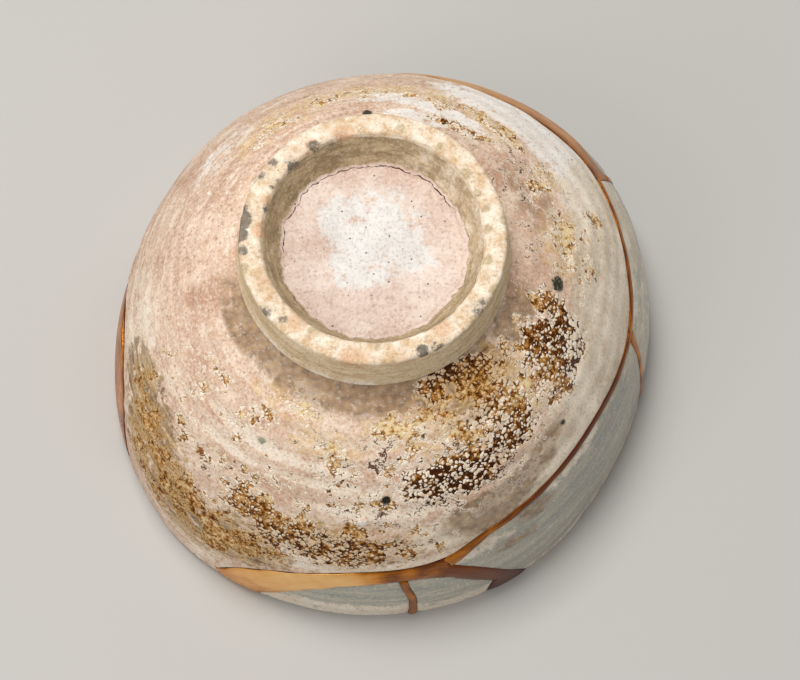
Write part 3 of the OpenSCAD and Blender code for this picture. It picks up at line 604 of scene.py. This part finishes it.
def crawled_glaze():
    material, tree, shader = new_material("crawled_glaze_on_stoneware")
    place = add(tree, "TexCoord", {}, "Object")
    wheel = add(tree, "Attribute", {}, "Vector", attribute_name="thrown")
    long_way = add(tree, "VectorMath", {0: wheel, 1: (0.12, 0.12, 1)}, operation="MULTIPLY")
    zones = {name: add(tree, "Attribute", {}, "Fac", attribute_name=name) for name in CARRIED}
    patterns = {}
    for name, way, size, detail, roughness in [
        ("cloud", place, 12, 8, 0.7), ("patch", place, 3.2, 6, 0.7), ("grain", place, 0.7, 4, 0.75),
        ("streak", long_way, 1.9, 6, 0.65), ("torn", place, 4.5, 6, 0.65), ("fleck", place, 1.4, 4, 0.7),
        ("wander", place, 1.6, 1, 0.5),
    ]:
        inputs = {"Vector": way, "Scale": per(size), "Detail": detail, "Roughness": roughness}
        patterns[name] = add(tree, "TexNoise", inputs)
    grain, streak = patterns["grain"], patterns["streak"]

    # The matt skin: pink to beige clouds, pale and dark streaks that follow the wheel, and mottling
    colour = linear("#cfa78d")
    for value, low, high, most, code in [
        (patterns["cloud"], 0.36, 0.64, 1, "#eed4bb"), (streak, 0.52, 0.68, 0.6, "#f9ebd8"),
        (streak, 0.46, 0.34, 0.4, "#b38d76"), (patterns["fleck"], 0.54, 0.66, 0.45, "#a67f64"),
        (patterns["fleck"], 0.46, 0.36, 0.4, "#f8ead8"),
    ]:
        mask = add(tree, "MapRange", {0: value, 1: low, 2: high, 4: most})
        colour = add(tree, "Mix", {0: mask, 6: colour, 7: linear(code)}, 2, data_type="RGBA")

    # Zones of other glaze, with ragged edges. Some zones are painted shade and painted light on and under
    # the foot.
    gloss = 0
    for name, pattern, low, high, most, rag in LAYERS:
        ragged = {0: patterns["patch"], 1: rag, 2: 1 - 0.5 * rag}
        ragged = add(tree, "Math", ragged, operation="MULTIPLY_ADD")
        reach = add(tree, "Math", {0: zones[name], 1: ragged}, operation="MULTIPLY")
        mask = add(tree, "MapRange", {0: reach, 1: 0.25, 2: 0.6, 4: most})
        share = add(tree, "MapRange", {0: patterns[pattern], 1: 0.38, 2: 0.62})
        tint = add(tree, "Mix", {0: share, 6: linear(low), 7: linear(high)}, 2, data_type="RGBA")
        colour = add(tree, "Mix", {0: mask, 6: colour, 7: tint}, 2, data_type="RGBA")
        if name in ("grey", "celadon"):
            gloss = add(tree, "Math", {0: gloss, 1: mask}, operation="MAXIMUM")

    # Cells that glaze breaks into as it draws up, with wandering borders: small beads and large islands
    for by, amount, size in [("torn", 14, 7), ("wander", 1.4, 0.9)]:
        moved = {0: patterns[by].node.outputs["Color"], 1: (amount * MM,) * 3, 2: place}
        moved = add(tree, "VectorMath", moved, operation="MULTIPLY_ADD")
        cell = {"Vector": moved, "Scale": per(size)}
        patterns[f"border of {by}"] = add(tree, "TexVoronoi", cell, feature="DISTANCE_TO_EDGE")
    nearest = add(tree, "TexVoronoi", cell)
    by_cell = add(tree, "SeparateColor", {0: nearest.node.outputs["Color"]})
    rounded = add(tree, "Math", {0: 0.57, 1: nearest}, operation="SUBTRACT")
    border = add(tree, "Mix", {0: zones["beads"], 2: patterns["border of wander"], 3: rounded})

    # Islands: thin dark lines with pale lips, where the skin only began to part
    part = add(tree, "MapRange", {0: patterns["patch"], 1: 0.38, 2: 0.62, 3: -0.06, 4: 0.08})
    part = add(tree, "Math", {0: part, 1: zones["isles"]}, operation="MULTIPLY")
    part = add(tree, "Math", {0: part, 1: patterns["border of torn"]}, operation="SUBTRACT")
    rim = add(tree, "MapRange", {0: part, 1: -0.13, 2: -0.04, 4: 0.9})
    rim = add(tree, "Math", {0: rim, 1: zones["isles"]}, operation="MULTIPLY")
    parted = add(tree, "MapRange", {0: part, 1: -0.005, 2: 0.015})

    # Crawled glaze: the skin has drawn up into beads, over brown and amber ground, with painted shade
    # darkening the ground along the skin's edge
    least = add(tree, "MapRange", {0: zones["crawl"], 2: 1.3, 3: 0.72, 4: 0.38})
    open_ground = add(tree, "Math", {0: patterns["torn"], 1: least}, operation="SUBTRACT")
    widest = add(tree, "MapRange", {0: zones["beads"], 3: 0.32, 4: 0.14})
    width = add(tree, "MapRange", {0: open_ground, 1: -0.06, 2: 0.1, 3: -0.25, 4: widest})
    uneven = add(tree, "Math", {0: by_cell, 1: 1, 2: 0.5}, operation="MULTIPLY_ADD")
    width = add(tree, "Math", {0: width, 1: uneven}, operation="MULTIPLY")
    bared = add(tree, "Math", {0: width, 1: border}, operation="SUBTRACT")
    # Painted shade: the ground is darker next to the skin's edge
    tone = add(tree, "MapRange", {0: open_ground, 1: 0, 2: 0.1, 3: -0.04, 4: 0.1})
    sparse = add(tree, "MapRange", {0: zones["crawl"], 1: 0.9, 2: 0.4})
    for value, amount in [
        (patterns["fleck"], 1), (zones["amber"], 0.12), (zones["beads"], -0.18), (sparse, 0.08),
    ]:
        tone = add(tree, "Math", {0: value, 1: amount, 2: tone}, operation="MULTIPLY_ADD")
    ground = linear("#3d1b02")
    for low, high, code in [(0.4, 0.52, "#6e3d0b"), (0.5, 0.6, "#b27c3a"), (0.6, 0.72, "#ead0a2")]:
        mask = add(tree, "MapRange", {0: tone, 1: low, 2: high})
        ground = add(tree, "Mix", {0: mask, 6: ground, 7: linear(code)}, 2, data_type="RGBA")
    pale = {0: zones["tan"], 6: linear("#fcecd6"), 7: linear("#c9a064")}
    pale = add(tree, "Mix", pale, 2, data_type="RGBA")
    mask = add(tree, "MapRange", {0: by_cell.node.outputs[1], 1: 0.6, 2: 0.9, 4: 0.8})
    bead = add(tree, "Mix", {0: mask, 6: pale, 7: linear("#dcb586")}, 2, data_type="RGBA")

    # Pores, each of its own size, and more of them in the recess
    pores = add(tree, "TexVoronoi", {"Vector": place, "Scale": per(1.7)}, "Distance")
    by_pore = add(tree, "SeparateColor", {0: pores.node.outputs["Color"]})
    often = add(tree, "Math", {0: zones["recess"], 1: 0.35, 2: by_pore}, operation="MULTIPLY_ADD")
    pore = add(tree, "MapRange", {0: often, 1: 0.6, 2: 1.1, 4: 0.14})
    pore = add(tree, "Math", {0: pore, 1: pores}, operation="SUBTRACT")

    # All of it laid over each other: grain, pores, islands and crawled glaze
    for value, low, high, most, tint in [
        (grain, 0.53, 0.66, 0.45, linear("#8c6a50")), (grain, 0.47, 0.34, 0.4, linear("#f8ecdc")),
        (pore, 0, 0.03, 0.85, linear("#4a3424")), (rim, 0, 1, 0.8, pale),
        (parted, 0, 1, 0.95, linear("#582806")), (open_ground, -0.03, 0.005, 0.9, bead),
        (bared, -0.03, 0.03, 1, ground),
    ]:
        mask = add(tree, "MapRange", {0: value, 1: low, 2: high, 4: most})
        colour = add(tree, "Mix", {0: mask, 6: colour, 7: tint}, 2, data_type="RGBA")

    # Single marks: pits, specks of iron and lumps, and painted shade in the crack round the recess
    for way, high, radius, stands, code in SPOTS:
        middle = tuple(wall(way, high * MM, 0))
        apart = add(tree, "VectorMath", {0: place, 1: middle}, "Value", operation="DISTANCE")
        apart = add(tree, "Math", {0: patterns["fleck"], 1: 2 * MM, 2: apart}, operation="MULTIPLY_ADD")
        mask = add(tree, "MapRange", {0: apart, 1: (radius + 1.2) * MM, 2: (radius + 0.8) * MM, 4: 0.97})
        dusted = 0.6 if stands > 0 else 0.1
        flecked = add(tree, "MapRange", {0: grain, 1: 0.5, 2: 0.6, 4: dusted})
        tint = add(tree, "Mix", {0: flecked, 6: linear(code), 7: linear("#8b8a74")}, 2, data_type="RGBA")
        colour = add(tree, "Mix", {0: mask, 6: colour, 7: tint}, 2, data_type="RGBA")
    # Painted shade: a dark line in the crack round the recess, deepest at the far side
    ragged = add(tree, "Math", {0: patterns["fleck"], 1: 1.25, 2: zones["crack"]}, operation="MULTIPLY_ADD")
    mask = add(tree, "MapRange", {0: ragged, 1: 1.25, 2: 1.4})
    colour = add(tree, "Mix", {0: mask, 6: colour, 7: linear("#331508")}, 2, data_type="RGBA")

    # Height: the skin is thicker than the ground, beads stand on it, and grain covers everything
    over = add(tree, "MapRange", {0: bared, 1: 0.05, 2: -0.2})
    for value, amount in [(grain, 0.4), (streak, 0.5), (parted, -0.6)]:
        over = add(tree, "Math", {0: value, 1: amount, 2: over}, operation="MULTIPLY_ADD")
    strength = add(tree, "MapRange", {0: gloss, 3: 0.6, 4: 0.15})
    bump = add(tree, "Bump", {"Height": over, "Strength": strength, "Distance": 0.25 * MM})
    roughness = add(tree, "MapRange", {0: gloss, 3: 0.66, 4: 0.36})
    sheen = add(tree, "MapRange", {0: gloss, 3: 0.1, 4: 0.5})
    finish = {"Roughness": roughness, "Specular IOR Level": sheen, "IOR": 1.5}
    feed(tree, shader, {"Base Color": colour, "Normal": bump, **finish})
    return material


glaze = crawled_glaze()
body = grid_piece("thrown_body", BODY_COLUMNS, BODY_ROWS, place_body)
body.data.materials.append(glaze)
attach(body, "root")
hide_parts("body")

# Broken pieces of the wall.
# Five shards of the same bowl, from the rim up to the break, with the glaze greyer and smoother than on the
# body. Their broken edges are cut back to a groove on both sides, where the gold lies.
FRONT_GAP, FRONT_GAP_TURN, FRONT_GAP_HOLLOW = 3 * MM, 12, 1.4
FAR_GAP = 18 * MM
FAR_GAP_LINE = [
    (FAR_CORNER, 0.42), (398, 0.44), (406, 0.98), (412, 1), (420, 0.8), (428, 0.6), (436, 0.34), (444, 0.1),
    (452, 0), (BREAK_END, 0),
]
CRACK_RIM, CRACK_TOP, CRACK_BOW = 276, 274, 1
RIGHT_BOW, RIM_CHIP = 1.5, 1.2 * MM


def shard_height(angle):
    """The top of the shards, which stands back from the break beside the front fill and at the far fill."""
    front = np.clip(1 - (angle - FRONT_CORNER) / FRONT_GAP_TURN, 0, 1) ** FRONT_GAP_HOLLOW
    front = np.where(angle < FRONT_CORNER, 0, front)
    far = np.where(angle < FAR_CORNER, 0, np.maximum(0, curve(FAR_GAP_LINE, angle)))
    return break_height(angle) - FRONT_GAP * front - FAR_GAP * far


def fill_side(v):
    return FILL_RIGHT + (FRONT_CORNER - FILL_RIGHT) * v


def arch_side(v):
    return ARCH_RIGHT_RIM + (ARCH_RIGHT - ARCH_RIGHT_RIM) * v


def front_crack(v):
    return CRACK_RIM + (CRACK_TOP - CRACK_RIM) * v + CRACK_BOW * np.sin(np.pi * v)


def right_crack(v, side_of=0):
    chipped = side_of * RIM_CHIP * TURN * (1 - v) ** 3
    return RIGHT_RIM + (RIGHT_CORNER - RIGHT_RIM) * v - RIGHT_BOW * np.sin(np.pi * v) + chipped


def far_crack(v):
    return FAR_RIM + (FAR_CORNER - FAR_RIM) * v


# The far crack up to the far fill, which is as far as the shard beyond it goes
FAR_SHARE = shard_height(FAR_CORNER + 1) / break_height(FAR_CORNER)


def far_crack_low(v):
    return far_crack(v * FAR_SHARE)


def shard_loop(rows):
    """The way round a shard's section: share of its height, depth, turn of the lip, and how far back."""
    half = np.linspace(0.5, 0, 5)
    up = np.linspace(0, 1, rows + 1)[1:]
    over = np.array([GROOVE_SHARE, 0.5, 1 - GROOVE_SHARE])
    lip_depth = 0.5 - 0.5 * np.cos(np.pi * half)
    back = EDGE_BACK + 0 * up
    share = np.concatenate([0 * half, up, 1 + 0 * over, up[::-1], 0 * half])
    depth = np.concatenate([lip_depth, 0 * up, over, 1 + 0 * up, 1 - lip_depth[::-1]])
    lip_turn = np.concatenate([half, 0 * up, 0 * over, 0 * up, half[::-1]])
    top_back = np.concatenate([0 * half, back, HALF_GAP + 0 * over, back, 0 * half])
    return share, depth, lip_turn, top_back


# Columns that close each side of a shard, and cells at its edges where the relief fades
END_COLUMNS = 2
FADE_CELLS = 3


def shard_piece(name, left, right, top, columns, rows, tones):
    """A shard between two sides and under a top, with the glaze tones that it has of its own."""
    share, depth, lip_turn, top_back = shard_loop(rows)
    all_columns = columns + 2 * END_COLUMNS

    def place(across, along):
        c = np.rint(across * all_columns).astype(int)
        k = np.rint(along * (len(share) - 1)).astype(int)
        u = np.clip((c - END_COLUMNS) / columns, 0, 1)
        from_end = np.minimum(c, all_columns - c)
        squeeze = np.choose(np.minimum(from_end, END_COLUMNS), [0, 1 - 2 * GROOVE_SHARE, 1])
        back = np.where(from_end < END_COLUMNS, HALF_GAP, EDGE_BACK)
        v = share[k]
        angle = (left(v) + back * TURN) * (1 - u) + (right(v) - back * TURN) * u
        height = LIP + (top(angle) - np.minimum(back, top_back[k]) - LIP) * v
        height = np.where(lip_turn[k] > 0, LIP * (1 - np.sin(np.pi * lip_turn[k])), height)
        w = 0.5 + (depth[k] - 0.5) * squeeze
        plain = wall(angle, height, w)
        length = np.interp(height, UP_HEIGHT, UP_LENGTH)
        outside = w < 0.01
        fade = np.clip(np.minimum(u, 1 - u) * columns / FADE_CELLS, 0, 1)
        fade *= np.clip((1 - v) * rows / FADE_CELLS, 0, 1)
        proud = np.zeros(len(u))
        proud[outside] = relief(plain[outside], angle[outside], length[outside], height[outside])
        carried = {label: np.zeros(len(u)) for label in CARRIED}
        for label, marks in ZONES.items():
            carried[label] = zone(marks, angle, height)
        for tone, (amount, low, high) in tones.items():
            share_of = amount * np.clip((high * MM - height) / ((high - low) * MM), 0, 1)
            carried[tone] = np.maximum(carried[tone], share_of)
        carried["thrown"] = thrown(angle, length)
        return wall(angle, height, w, proud * fade), carried

    piece = grid_piece(name, all_columns, len(share) - 1, place)
    piece.data.materials.append(glaze)
    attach(piece, "root")
    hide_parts(name)


# Tones as amount, and the heights in millimetres where they are full and where they end
ALL_OVER = (1, 90, 100)
shard_piece(
    "shard_front_left", lambda v: ARCH_LEFT + 0 * v, front_crack, arch_height, 46, 30,
    {"celadon": ALL_OVER, "cream": (1, 6, 11)},
)
shard_piece(
    "shard_front_middle", front_crack, arch_side, arch_height, 34, 30,
    {"celadon": ALL_OVER, "cream": (1, 4, 9)},
)
shard_piece(
    "shard_front_right", fill_side, lambda v: right_crack(v, -1), shard_height, 84, 44,
    {"celadon": ALL_OVER, "cream": (0.6, 2, 6)},
)
shard_piece(
    "shard_right", lambda v: right_crack(v, 1), far_crack, break_height, 58, 46,
    {"celadon": ALL_OVER, "grey": (0.4, 90, 100)},
)
shard_piece(
    "shard_far", far_crack_low, lambda v: BREAK_END + 0 * v, shard_height, 96, 46,
    {"celadon": ALL_OVER},
)

# Lacquer.
# Brown-red lacquer that glues the broken faces and fills the pieces of wall that are lost at the front, the
# left and the far side. It is brushed on, cures to a soft gloss, and lies in the joints, under the gold.
LACQUER_NODES = [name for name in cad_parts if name.endswith("_lacquer") or name.endswith("_fill")]


def cured_lacquer():
    material, tree, shader = new_material("cured_brown_lacquer")
    place = add(tree, "TexCoord", {}, "Object")
    brushed = add(tree, "TexNoise", {"Vector": place, "Scale": per(2), "Detail": 4})
    shades = {0: brushed, 6: linear("#351611"), 7: linear("#5a2a1c")}
    colour = add(tree, "Mix", shades, 2, data_type="RGBA")
    bump = add(tree, "Bump", {"Height": brushed, "Strength": 0.3, "Distance": 0.1 * MM})
    roughness = add(tree, "MapRange", {0: brushed, 3: 0.25, 4: 0.45})
    feed(tree, shader, {"Base Color": colour, "Roughness": roughness, "Normal": bump, "IOR": 1.52})
    return material


lacquer = cured_lacquer()
for name in LACQUER_NODES:
    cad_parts[name].material_slots[0].material = lacquer

# Gold.
# Gold powder dusted on wet lacquer, along every join and over every fill, outside and inside. It stands a
# little proud, with streaks of the brush along it, and the lacquer shows through where it is thin. Along
# some joins its tone also holds painted highlights and painted shade.
GOLD_PROUD = 0.35 * MM
GOLD_LAP = 0.85 * MM
GOLD_SUNK = 0.02 * MM
GOLD_TURNS = 12
WAVE, WAVE_LENGTH, WAVE_SHIFT = 0.35, 4 * MM, 7
STREAK, STREAK_LENGTH, STREAK_WIDTH = 0.12, 6 * MM, 0.7 * MM
# Where in the noise the waves and the streaks are taken from
WAVE_FROM, STREAK_FROM = (7.3, 1.1), 3.1
EDGE_THIN = 0.3


def powdered_gold():
    material, tree, shader = new_material("gold_powder_on_lacquer")
    place = add(tree, "TexCoord", {}, "Object")
    drawn = add(tree, "Attribute", {}, "Vector", attribute_name="drawn")
    thin = add(tree, "Attribute", {}, "Fac", attribute_name="thin")
    long_way = add(tree, "VectorMath", {0: drawn, 1: (0.06, 1, 1)}, operation="MULTIPLY")
    brush = add(tree, "TexNoise", {"Vector": long_way, "Scale": per(0.5), "Detail": 4})
    cloud = add(tree, "TexNoise", {"Vector": place, "Scale": per(5), "Detail": 4})
    # Real powder is too fine to show, so its grains are drawn coarser
    powder = add(tree, "TexNoise", {"Vector": place, "Scale": per(0.25), "Detail": 2})
    # How worn the gold looks from clouds, brush streaks and its thinness, which also holds painted
    # highlights and shade
    wear_and_light = add(tree, "Math", {0: cloud, 1: 0.8, 2: thin}, operation="MULTIPLY_ADD")
    wear_and_light = add(tree, "Math", {0: brush, 1: 0.4, 2: wear_and_light}, operation="MULTIPLY_ADD")
    shows = add(tree, "MapRange", {0: wear_and_light, 1: 1.15, 2: 1.6})
    # The palest colours are reached mainly where painted highlights bring the values below nought
    colour = linear("#ffd08c")
    for low, high, code in [
        (0.1, 0.45, "#f6b96a"), (0.45, 0.8, "#d4831f"), (0.75, 1.1, "#7c3f02"), (1.1, 1.55, "#5a210a"),
    ]:
        mask = add(tree, "MapRange", {0: wear_and_light, 1: low, 2: high})
        colour = add(tree, "Mix", {0: mask, 6: colour, 7: linear(code)}, 2, data_type="RGBA")
    height = add(tree, "Math", {0: powder, 1: 0.25, 2: brush}, operation="MULTIPLY_ADD")
    bump = add(tree, "Bump", {"Height": height, "Strength": 0.35, "Distance": 0.1 * MM})
    roughness = add(tree, "MapRange", {0: brush, 3: 0.27, 4: 0.41})
    metallic = add(tree, "MapRange", {0: shows, 3: 0.82, 4: 0.6})
    feed(tree, shader, {"Base Color": colour, "Roughness": roughness, "Metallic": metallic, "Normal": bump})
    return material


gold = powdered_gold()


def gold_piece(name, first, second, thin, depth=None, turns=GOLD_TURNS, blunt=False):
    """Gold between two edges of (angle, height) on the wall, outside or inside by its name."""
    inside = name.endswith("inside")
    stations = len(first)
    depth = np.zeros(stations) if depth is None else depth
    lipped = depth > 0
    step = np.stack([(first[:, 0] - second[:, 0]) / TURN, first[:, 1] - second[:, 1]], -1)
    width = np.linalg.norm(step, axis=1)
    step /= width[:, None]
    middle = wall(0.5 * (first[:, 0] + second[:, 0]), 0.5 * (first[:, 1] + second[:, 1]), 0)
    way = np.concatenate([[0], np.cumsum(np.linalg.norm(np.diff(middle, axis=0), axis=1))])
    wave = WAVE * np.array([noise.noise(Vector((w / WAVE_LENGTH, *WAVE_FROM))) for w in way])
    lap_first = GOLD_LAP * (1 + wave)
    lap_second = GOLD_LAP * (1 + np.roll(wave, WAVE_SHIFT))

    def place(across, along):
        k = np.rint(across * 2 * turns).astype(int)
        s = np.rint(along * (stations - 1)).astype(int)
        on_top = k <= turns
        t = np.where(on_top, k, 2 * turns - k) / turns
        at_end = (s == 0) | (s == stations - 1)
        x = -lap_second[s] + (width[s] + lap_first[s] + lap_second[s]) * t
        x = np.where(on_top | at_end, x, np.clip(x, 0, width[s]))
        x = np.where(at_end & ~lipped[s] & ~(blunt & (s == 0)), 0.5 * width[s], x)
        angle = second[s, 0] + step[s, 0] * x * TURN
        height = np.maximum(0, second[s, 1] + step[s, 1] * x)
        from_middle = np.abs(2 * t - 1)
        crown = 1 - from_middle ** 4
        drawn = np.stack([way[s] / STREAK_LENGTH, x / STREAK_WIDTH, STREAK_FROM + 0 * x], -1)
        streaks = STREAK * np.array([noise.noise(Vector(p)) for p in drawn])
        lift = np.where(on_top & ~at_end, GOLD_PROUD * crown * (1 + streaks) - GOLD_SUNK, 0)
        lift = lift * np.clip(1 - 2 * depth[s], 0, 1)
        w = depth[s] + np.where(on_top | at_end, 0, GROOVE_SHARE * (1 - 2 * depth[s]))
        points = wall(angle, height, 1 - w, -lift) if inside else wall(angle, height, w, lift)
        at_edge = EDGE_THIN * from_middle ** 8
        return points, {"drawn": np.stack([way[s], x, 0 * x], -1), "thin": thin[s] + at_edge}

    piece = grid_piece(name, 2 * turns, stations - 1, place)
    piece.data.materials.append(gold)
    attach(piece, "root")
    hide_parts(name)


def both_sides(name, *edges, **more):
    """The gold outside the wall and the same gold inside it."""
    for where in ("outside", "inside"):
        gold_piece(f"{name}_gold_{where}", *edges, **more)


def line(angles, heights):
    """Points of an edge, as angle and height."""
    return np.stack(np.broadcast_arrays(np.asarray(angles, float), np.asarray(heights, float)), -1)


def spread(tones, count):
    """How thin the gold is at each of its stations, with painted highlights and shade in it, from a few
    values along it.
    """
    return np.interp(np.linspace(0, len(tones) - 1, count), range(len(tones)), tones)


# The main break in three stretches, from the front fill to its end on the far side
STATION = 0.9
EDGE_TURN = EDGE_BACK * TURN
# Tones along each seam: how thin the gold is, darker in the middle of the front seam partly as painted
# shade, and lower near the ends of the right seam as painted highlights
for name, start, stop, tones in [
    ("front_seam", FRONT_CORNER, RIGHT_CORNER, [0.3, 0.5, 0.8, 0.8, 0.35]),
    ("right_seam", RIGHT_CORNER, FAR_CORNER, [0.2, 0.4, 0.45, 0.4, 0.3]),
]:
    angles = np.arange(start - EDGE_TURN, stop + EDGE_TURN, STATION)
    both_sides(
        name, line(angles, break_height(angles) + HALF_GAP), line(angles, shard_height(angles) - HALF_GAP),
        spread(tones, len(angles)),
    )
last = BREAK_END - EDGE_TURN
angles = np.arange(FAR_CORNER - EDGE_TURN, last, STATION)
low_angles = np.interp(angles, angles[[0, -1]], [far_crack_low(1) - EDGE_TURN, last])
low_heights = shard_height(np.maximum(low_angles, FAR_CORNER))
falls = np.linspace(1, 0, 18) * break_height(BREAK_END)
upper = [line(angles, break_height(angles) + HALF_GAP), line(BREAK_END + HALF_GAP * TURN, falls)]
lower = [line(low_angles, low_heights - HALF_GAP), line(BREAK_END - HALF_GAP * TURN, falls)]
# The far seam's values below nought are painted highlights
both_sides(
    "far_seam", np.concatenate(upper), np.concatenate(lower),
    spread([0.3, 0.1, -0.1, -0.1, 0], len(angles) + len(falls)), turns=30, blunt=True,
)

# The cracks from the main break down to the rim. The gold of the right one is a wedge where it meets the
# break.
WEDGE, WEDGE_SHARE = 1.6 * MM, 0.2
CRACK_STATIONS = 36
for name, left, right, top, amount, wedge in [
    ("front_crack", front_crack, front_crack, arch_height, 0.4, 0),
    ("right_crack", lambda v: right_crack(v, -1), lambda v: right_crack(v, 1), break_height, 0.3, WEDGE),
    ("far_crack", far_crack_low, far_crack_low, shard_height, 0.3, 0),
]:
    v = np.linspace(0, 1, CRACK_STATIONS)
    widens = wedge * TURN * np.clip((v - 1) / WEDGE_SHARE + 1, 0, 1)
    heights = v * (top(right(1.0)) - HALF_GAP)
    both_sides(
        name, line(right(v) + HALF_GAP * TURN, heights), line(left(v) - HALF_GAP * TURN - widens, heights),
        np.full(CRACK_STATIONS, amount),
    )

# The fills, which go round the lip. The front one runs between the main break and the arch over two shards.
LIP_STATIONS, FILL_STATIONS, SIDE_STATIONS, ARCH_STATIONS, ARCH_SIDE_STATIONS = 6, 70, 40, 30, 10
lip_turns = np.linspace(0.5, 0, LIP_STATIONS)
lip_depth = 0.5 - 0.5 * np.cos(np.pi * lip_turns)
lip_height = LIP * (1 - np.sin(np.pi * lip_turns))
left_angles = np.linspace(FILL_LEFT, FRONT_CORNER, FILL_STATIONS)
down = np.linspace(1, 0, SIDE_STATIONS)
right_angles = fill_side(down)
outer = np.concatenate([
    line(FILL_LEFT, lip_height), line(left_angles, break_height(left_angles)),
    line(right_angles, LIP + (shard_height(right_angles) - LIP) * down), line(FILL_RIGHT, lip_height[::-1]),
])
arch_angles = np.linspace(ARCH_LEFT, ARCH_SPLIT, FILL_STATIONS)
arch_end = np.linspace(ARCH_SPLIT, ARCH_RIGHT, ARCH_STATIONS)
down = np.linspace(1, 0, ARCH_SIDE_STATIONS)
inner = np.concatenate([
    line(ARCH_LEFT, lip_height), line(arch_angles, arch_height(arch_angles)),
    line(arch_end, arch_height(arch_end)),
    line(arch_side(down), LIP + (arch_height(ARCH_RIGHT) - LIP) * down),
    line(ARCH_RIGHT_RIM, lip_height[::-1]),
])
fill_depth = np.concatenate([lip_depth, np.zeros(len(outer) - 2 * LIP_STATIONS), lip_depth[::-1]])
# How thin the gold of the front fill is along its edge; the values below nought, at the left, are a painted
# highlight
thin_stations = [0, 10, 27, 40, 55, 75, 95, len(outer) - 1]
fill_thin = np.interp(np.arange(len(outer)), thin_stations, [0.1, -0.1, -0.4, -0.4, 0.3, 0.5, 0.7, 0.95])
both_sides("front_fill", outer, inner, fill_thin, depth=fill_depth, turns=26)

# The left one runs between the two sides of the chip, up to its peak
NOTCH_STATIONS = 60
PEAK_GAP = 0.05 * MM
NOTCH_THIN = 0.25
fine_angles = np.linspace(NOTCH_LEFT, NOTCH_RIGHT, 400)
fine_heights = notch_height(fine_angles) - HALF_GAP
peak = int(np.argmax(fine_heights))
rising = np.linspace(LIP, fine_heights[peak] - PEAK_GAP, NOTCH_STATIONS)
left_side = np.interp(rising, fine_heights[:peak + 1], fine_angles[:peak + 1], left=NOTCH_LEFT)
right_side = np.interp(rising, fine_heights[peak:][::-1], fine_angles[peak:][::-1], left=NOTCH_RIGHT)
notch_depth = np.concatenate([lip_depth, np.zeros(NOTCH_STATIONS)])
both_sides(
    "left_fill",
    np.concatenate([line(right_side[0], lip_height), line(right_side, rising)]),
    np.concatenate([line(left_side[0], lip_height), line(left_side, rising)]),
    np.full(len(notch_depth), NOTCH_THIN), depth=notch_depth, turns=40,
)

# Floor, light and camera.
# A plain pale table of painted board, matt and even. A soft lamp stands above and behind the bowl and a
# weaker one at the front left, and the camera looks down on the foot at the photograph's angle.
TABLE_HALF = 3
CAMERA_PLACE = (0.00383, -0.1930, 0.5670)
CAMERA_TILT = 19.1
# The camera's lens and sensor, in millimetres
CAMERA_LENS, SENSOR_WIDTH = 112.22, 36


def table_finish():
    material, tree, shader = new_material("plain_pale_table")
    feed(tree, shader, {"Base Color": linear("#bdbab4"), "Roughness": 0.6})
    return material


bm = bmesh.new()
bmesh.ops.create_grid(bm, x_segments=1, y_segments=1, size=TABLE_HALF)
floor_mesh = bpy.data.meshes.new("table")
bm.to_mesh(floor_mesh)
bm.free()
table = bpy.data.objects.new("table", floor_mesh)
bpy.context.scene.collection.objects.link(table)
table.data.materials.append(table_finish())


def lamp(name, place, target, size, power):
    light = bpy.data.lights.new(name, "AREA")
    light.size = size
    light.energy = power
    made = bpy.data.objects.new(name, light)
    made.location = place
    made.rotation_euler = (Vector(target) - Vector(place)).to_track_quat("-Z", "Y").to_euler()
    bpy.context.scene.collection.objects.link(made)


MIDDLE = (0, 0, 0.5 * BOWL_HEIGHT)
lamp("key", (-0.15, 0.22, 1.02), MIDDLE, size=0.4, power=7.6)
lamp("fill", (-0.6, -0.6, 0.7), MIDDLE, size=0.7, power=3)
world = bpy.data.worlds.new("studio")
world.use_nodes = True
background = world.node_tree.nodes["Background"]
feed(world.node_tree, background, {"Color": linear("#e8e8e8"), "Strength": 0.44})
bpy.context.scene.world = world

camera = bpy.data.cameras.new("camera")
camera.sensor_width = SENSOR_WIDTH
camera.lens = CAMERA_LENS
view = bpy.data.objects.new("camera", camera)
view.location = CAMERA_PLACE
view.rotation_euler = (np.radians(CAMERA_TILT), 0, 0)
bpy.context.scene.collection.objects.link(view)
bpy.context.scene.camera = view
bpy.context.scene.view_settings.view_transform = "Standard"
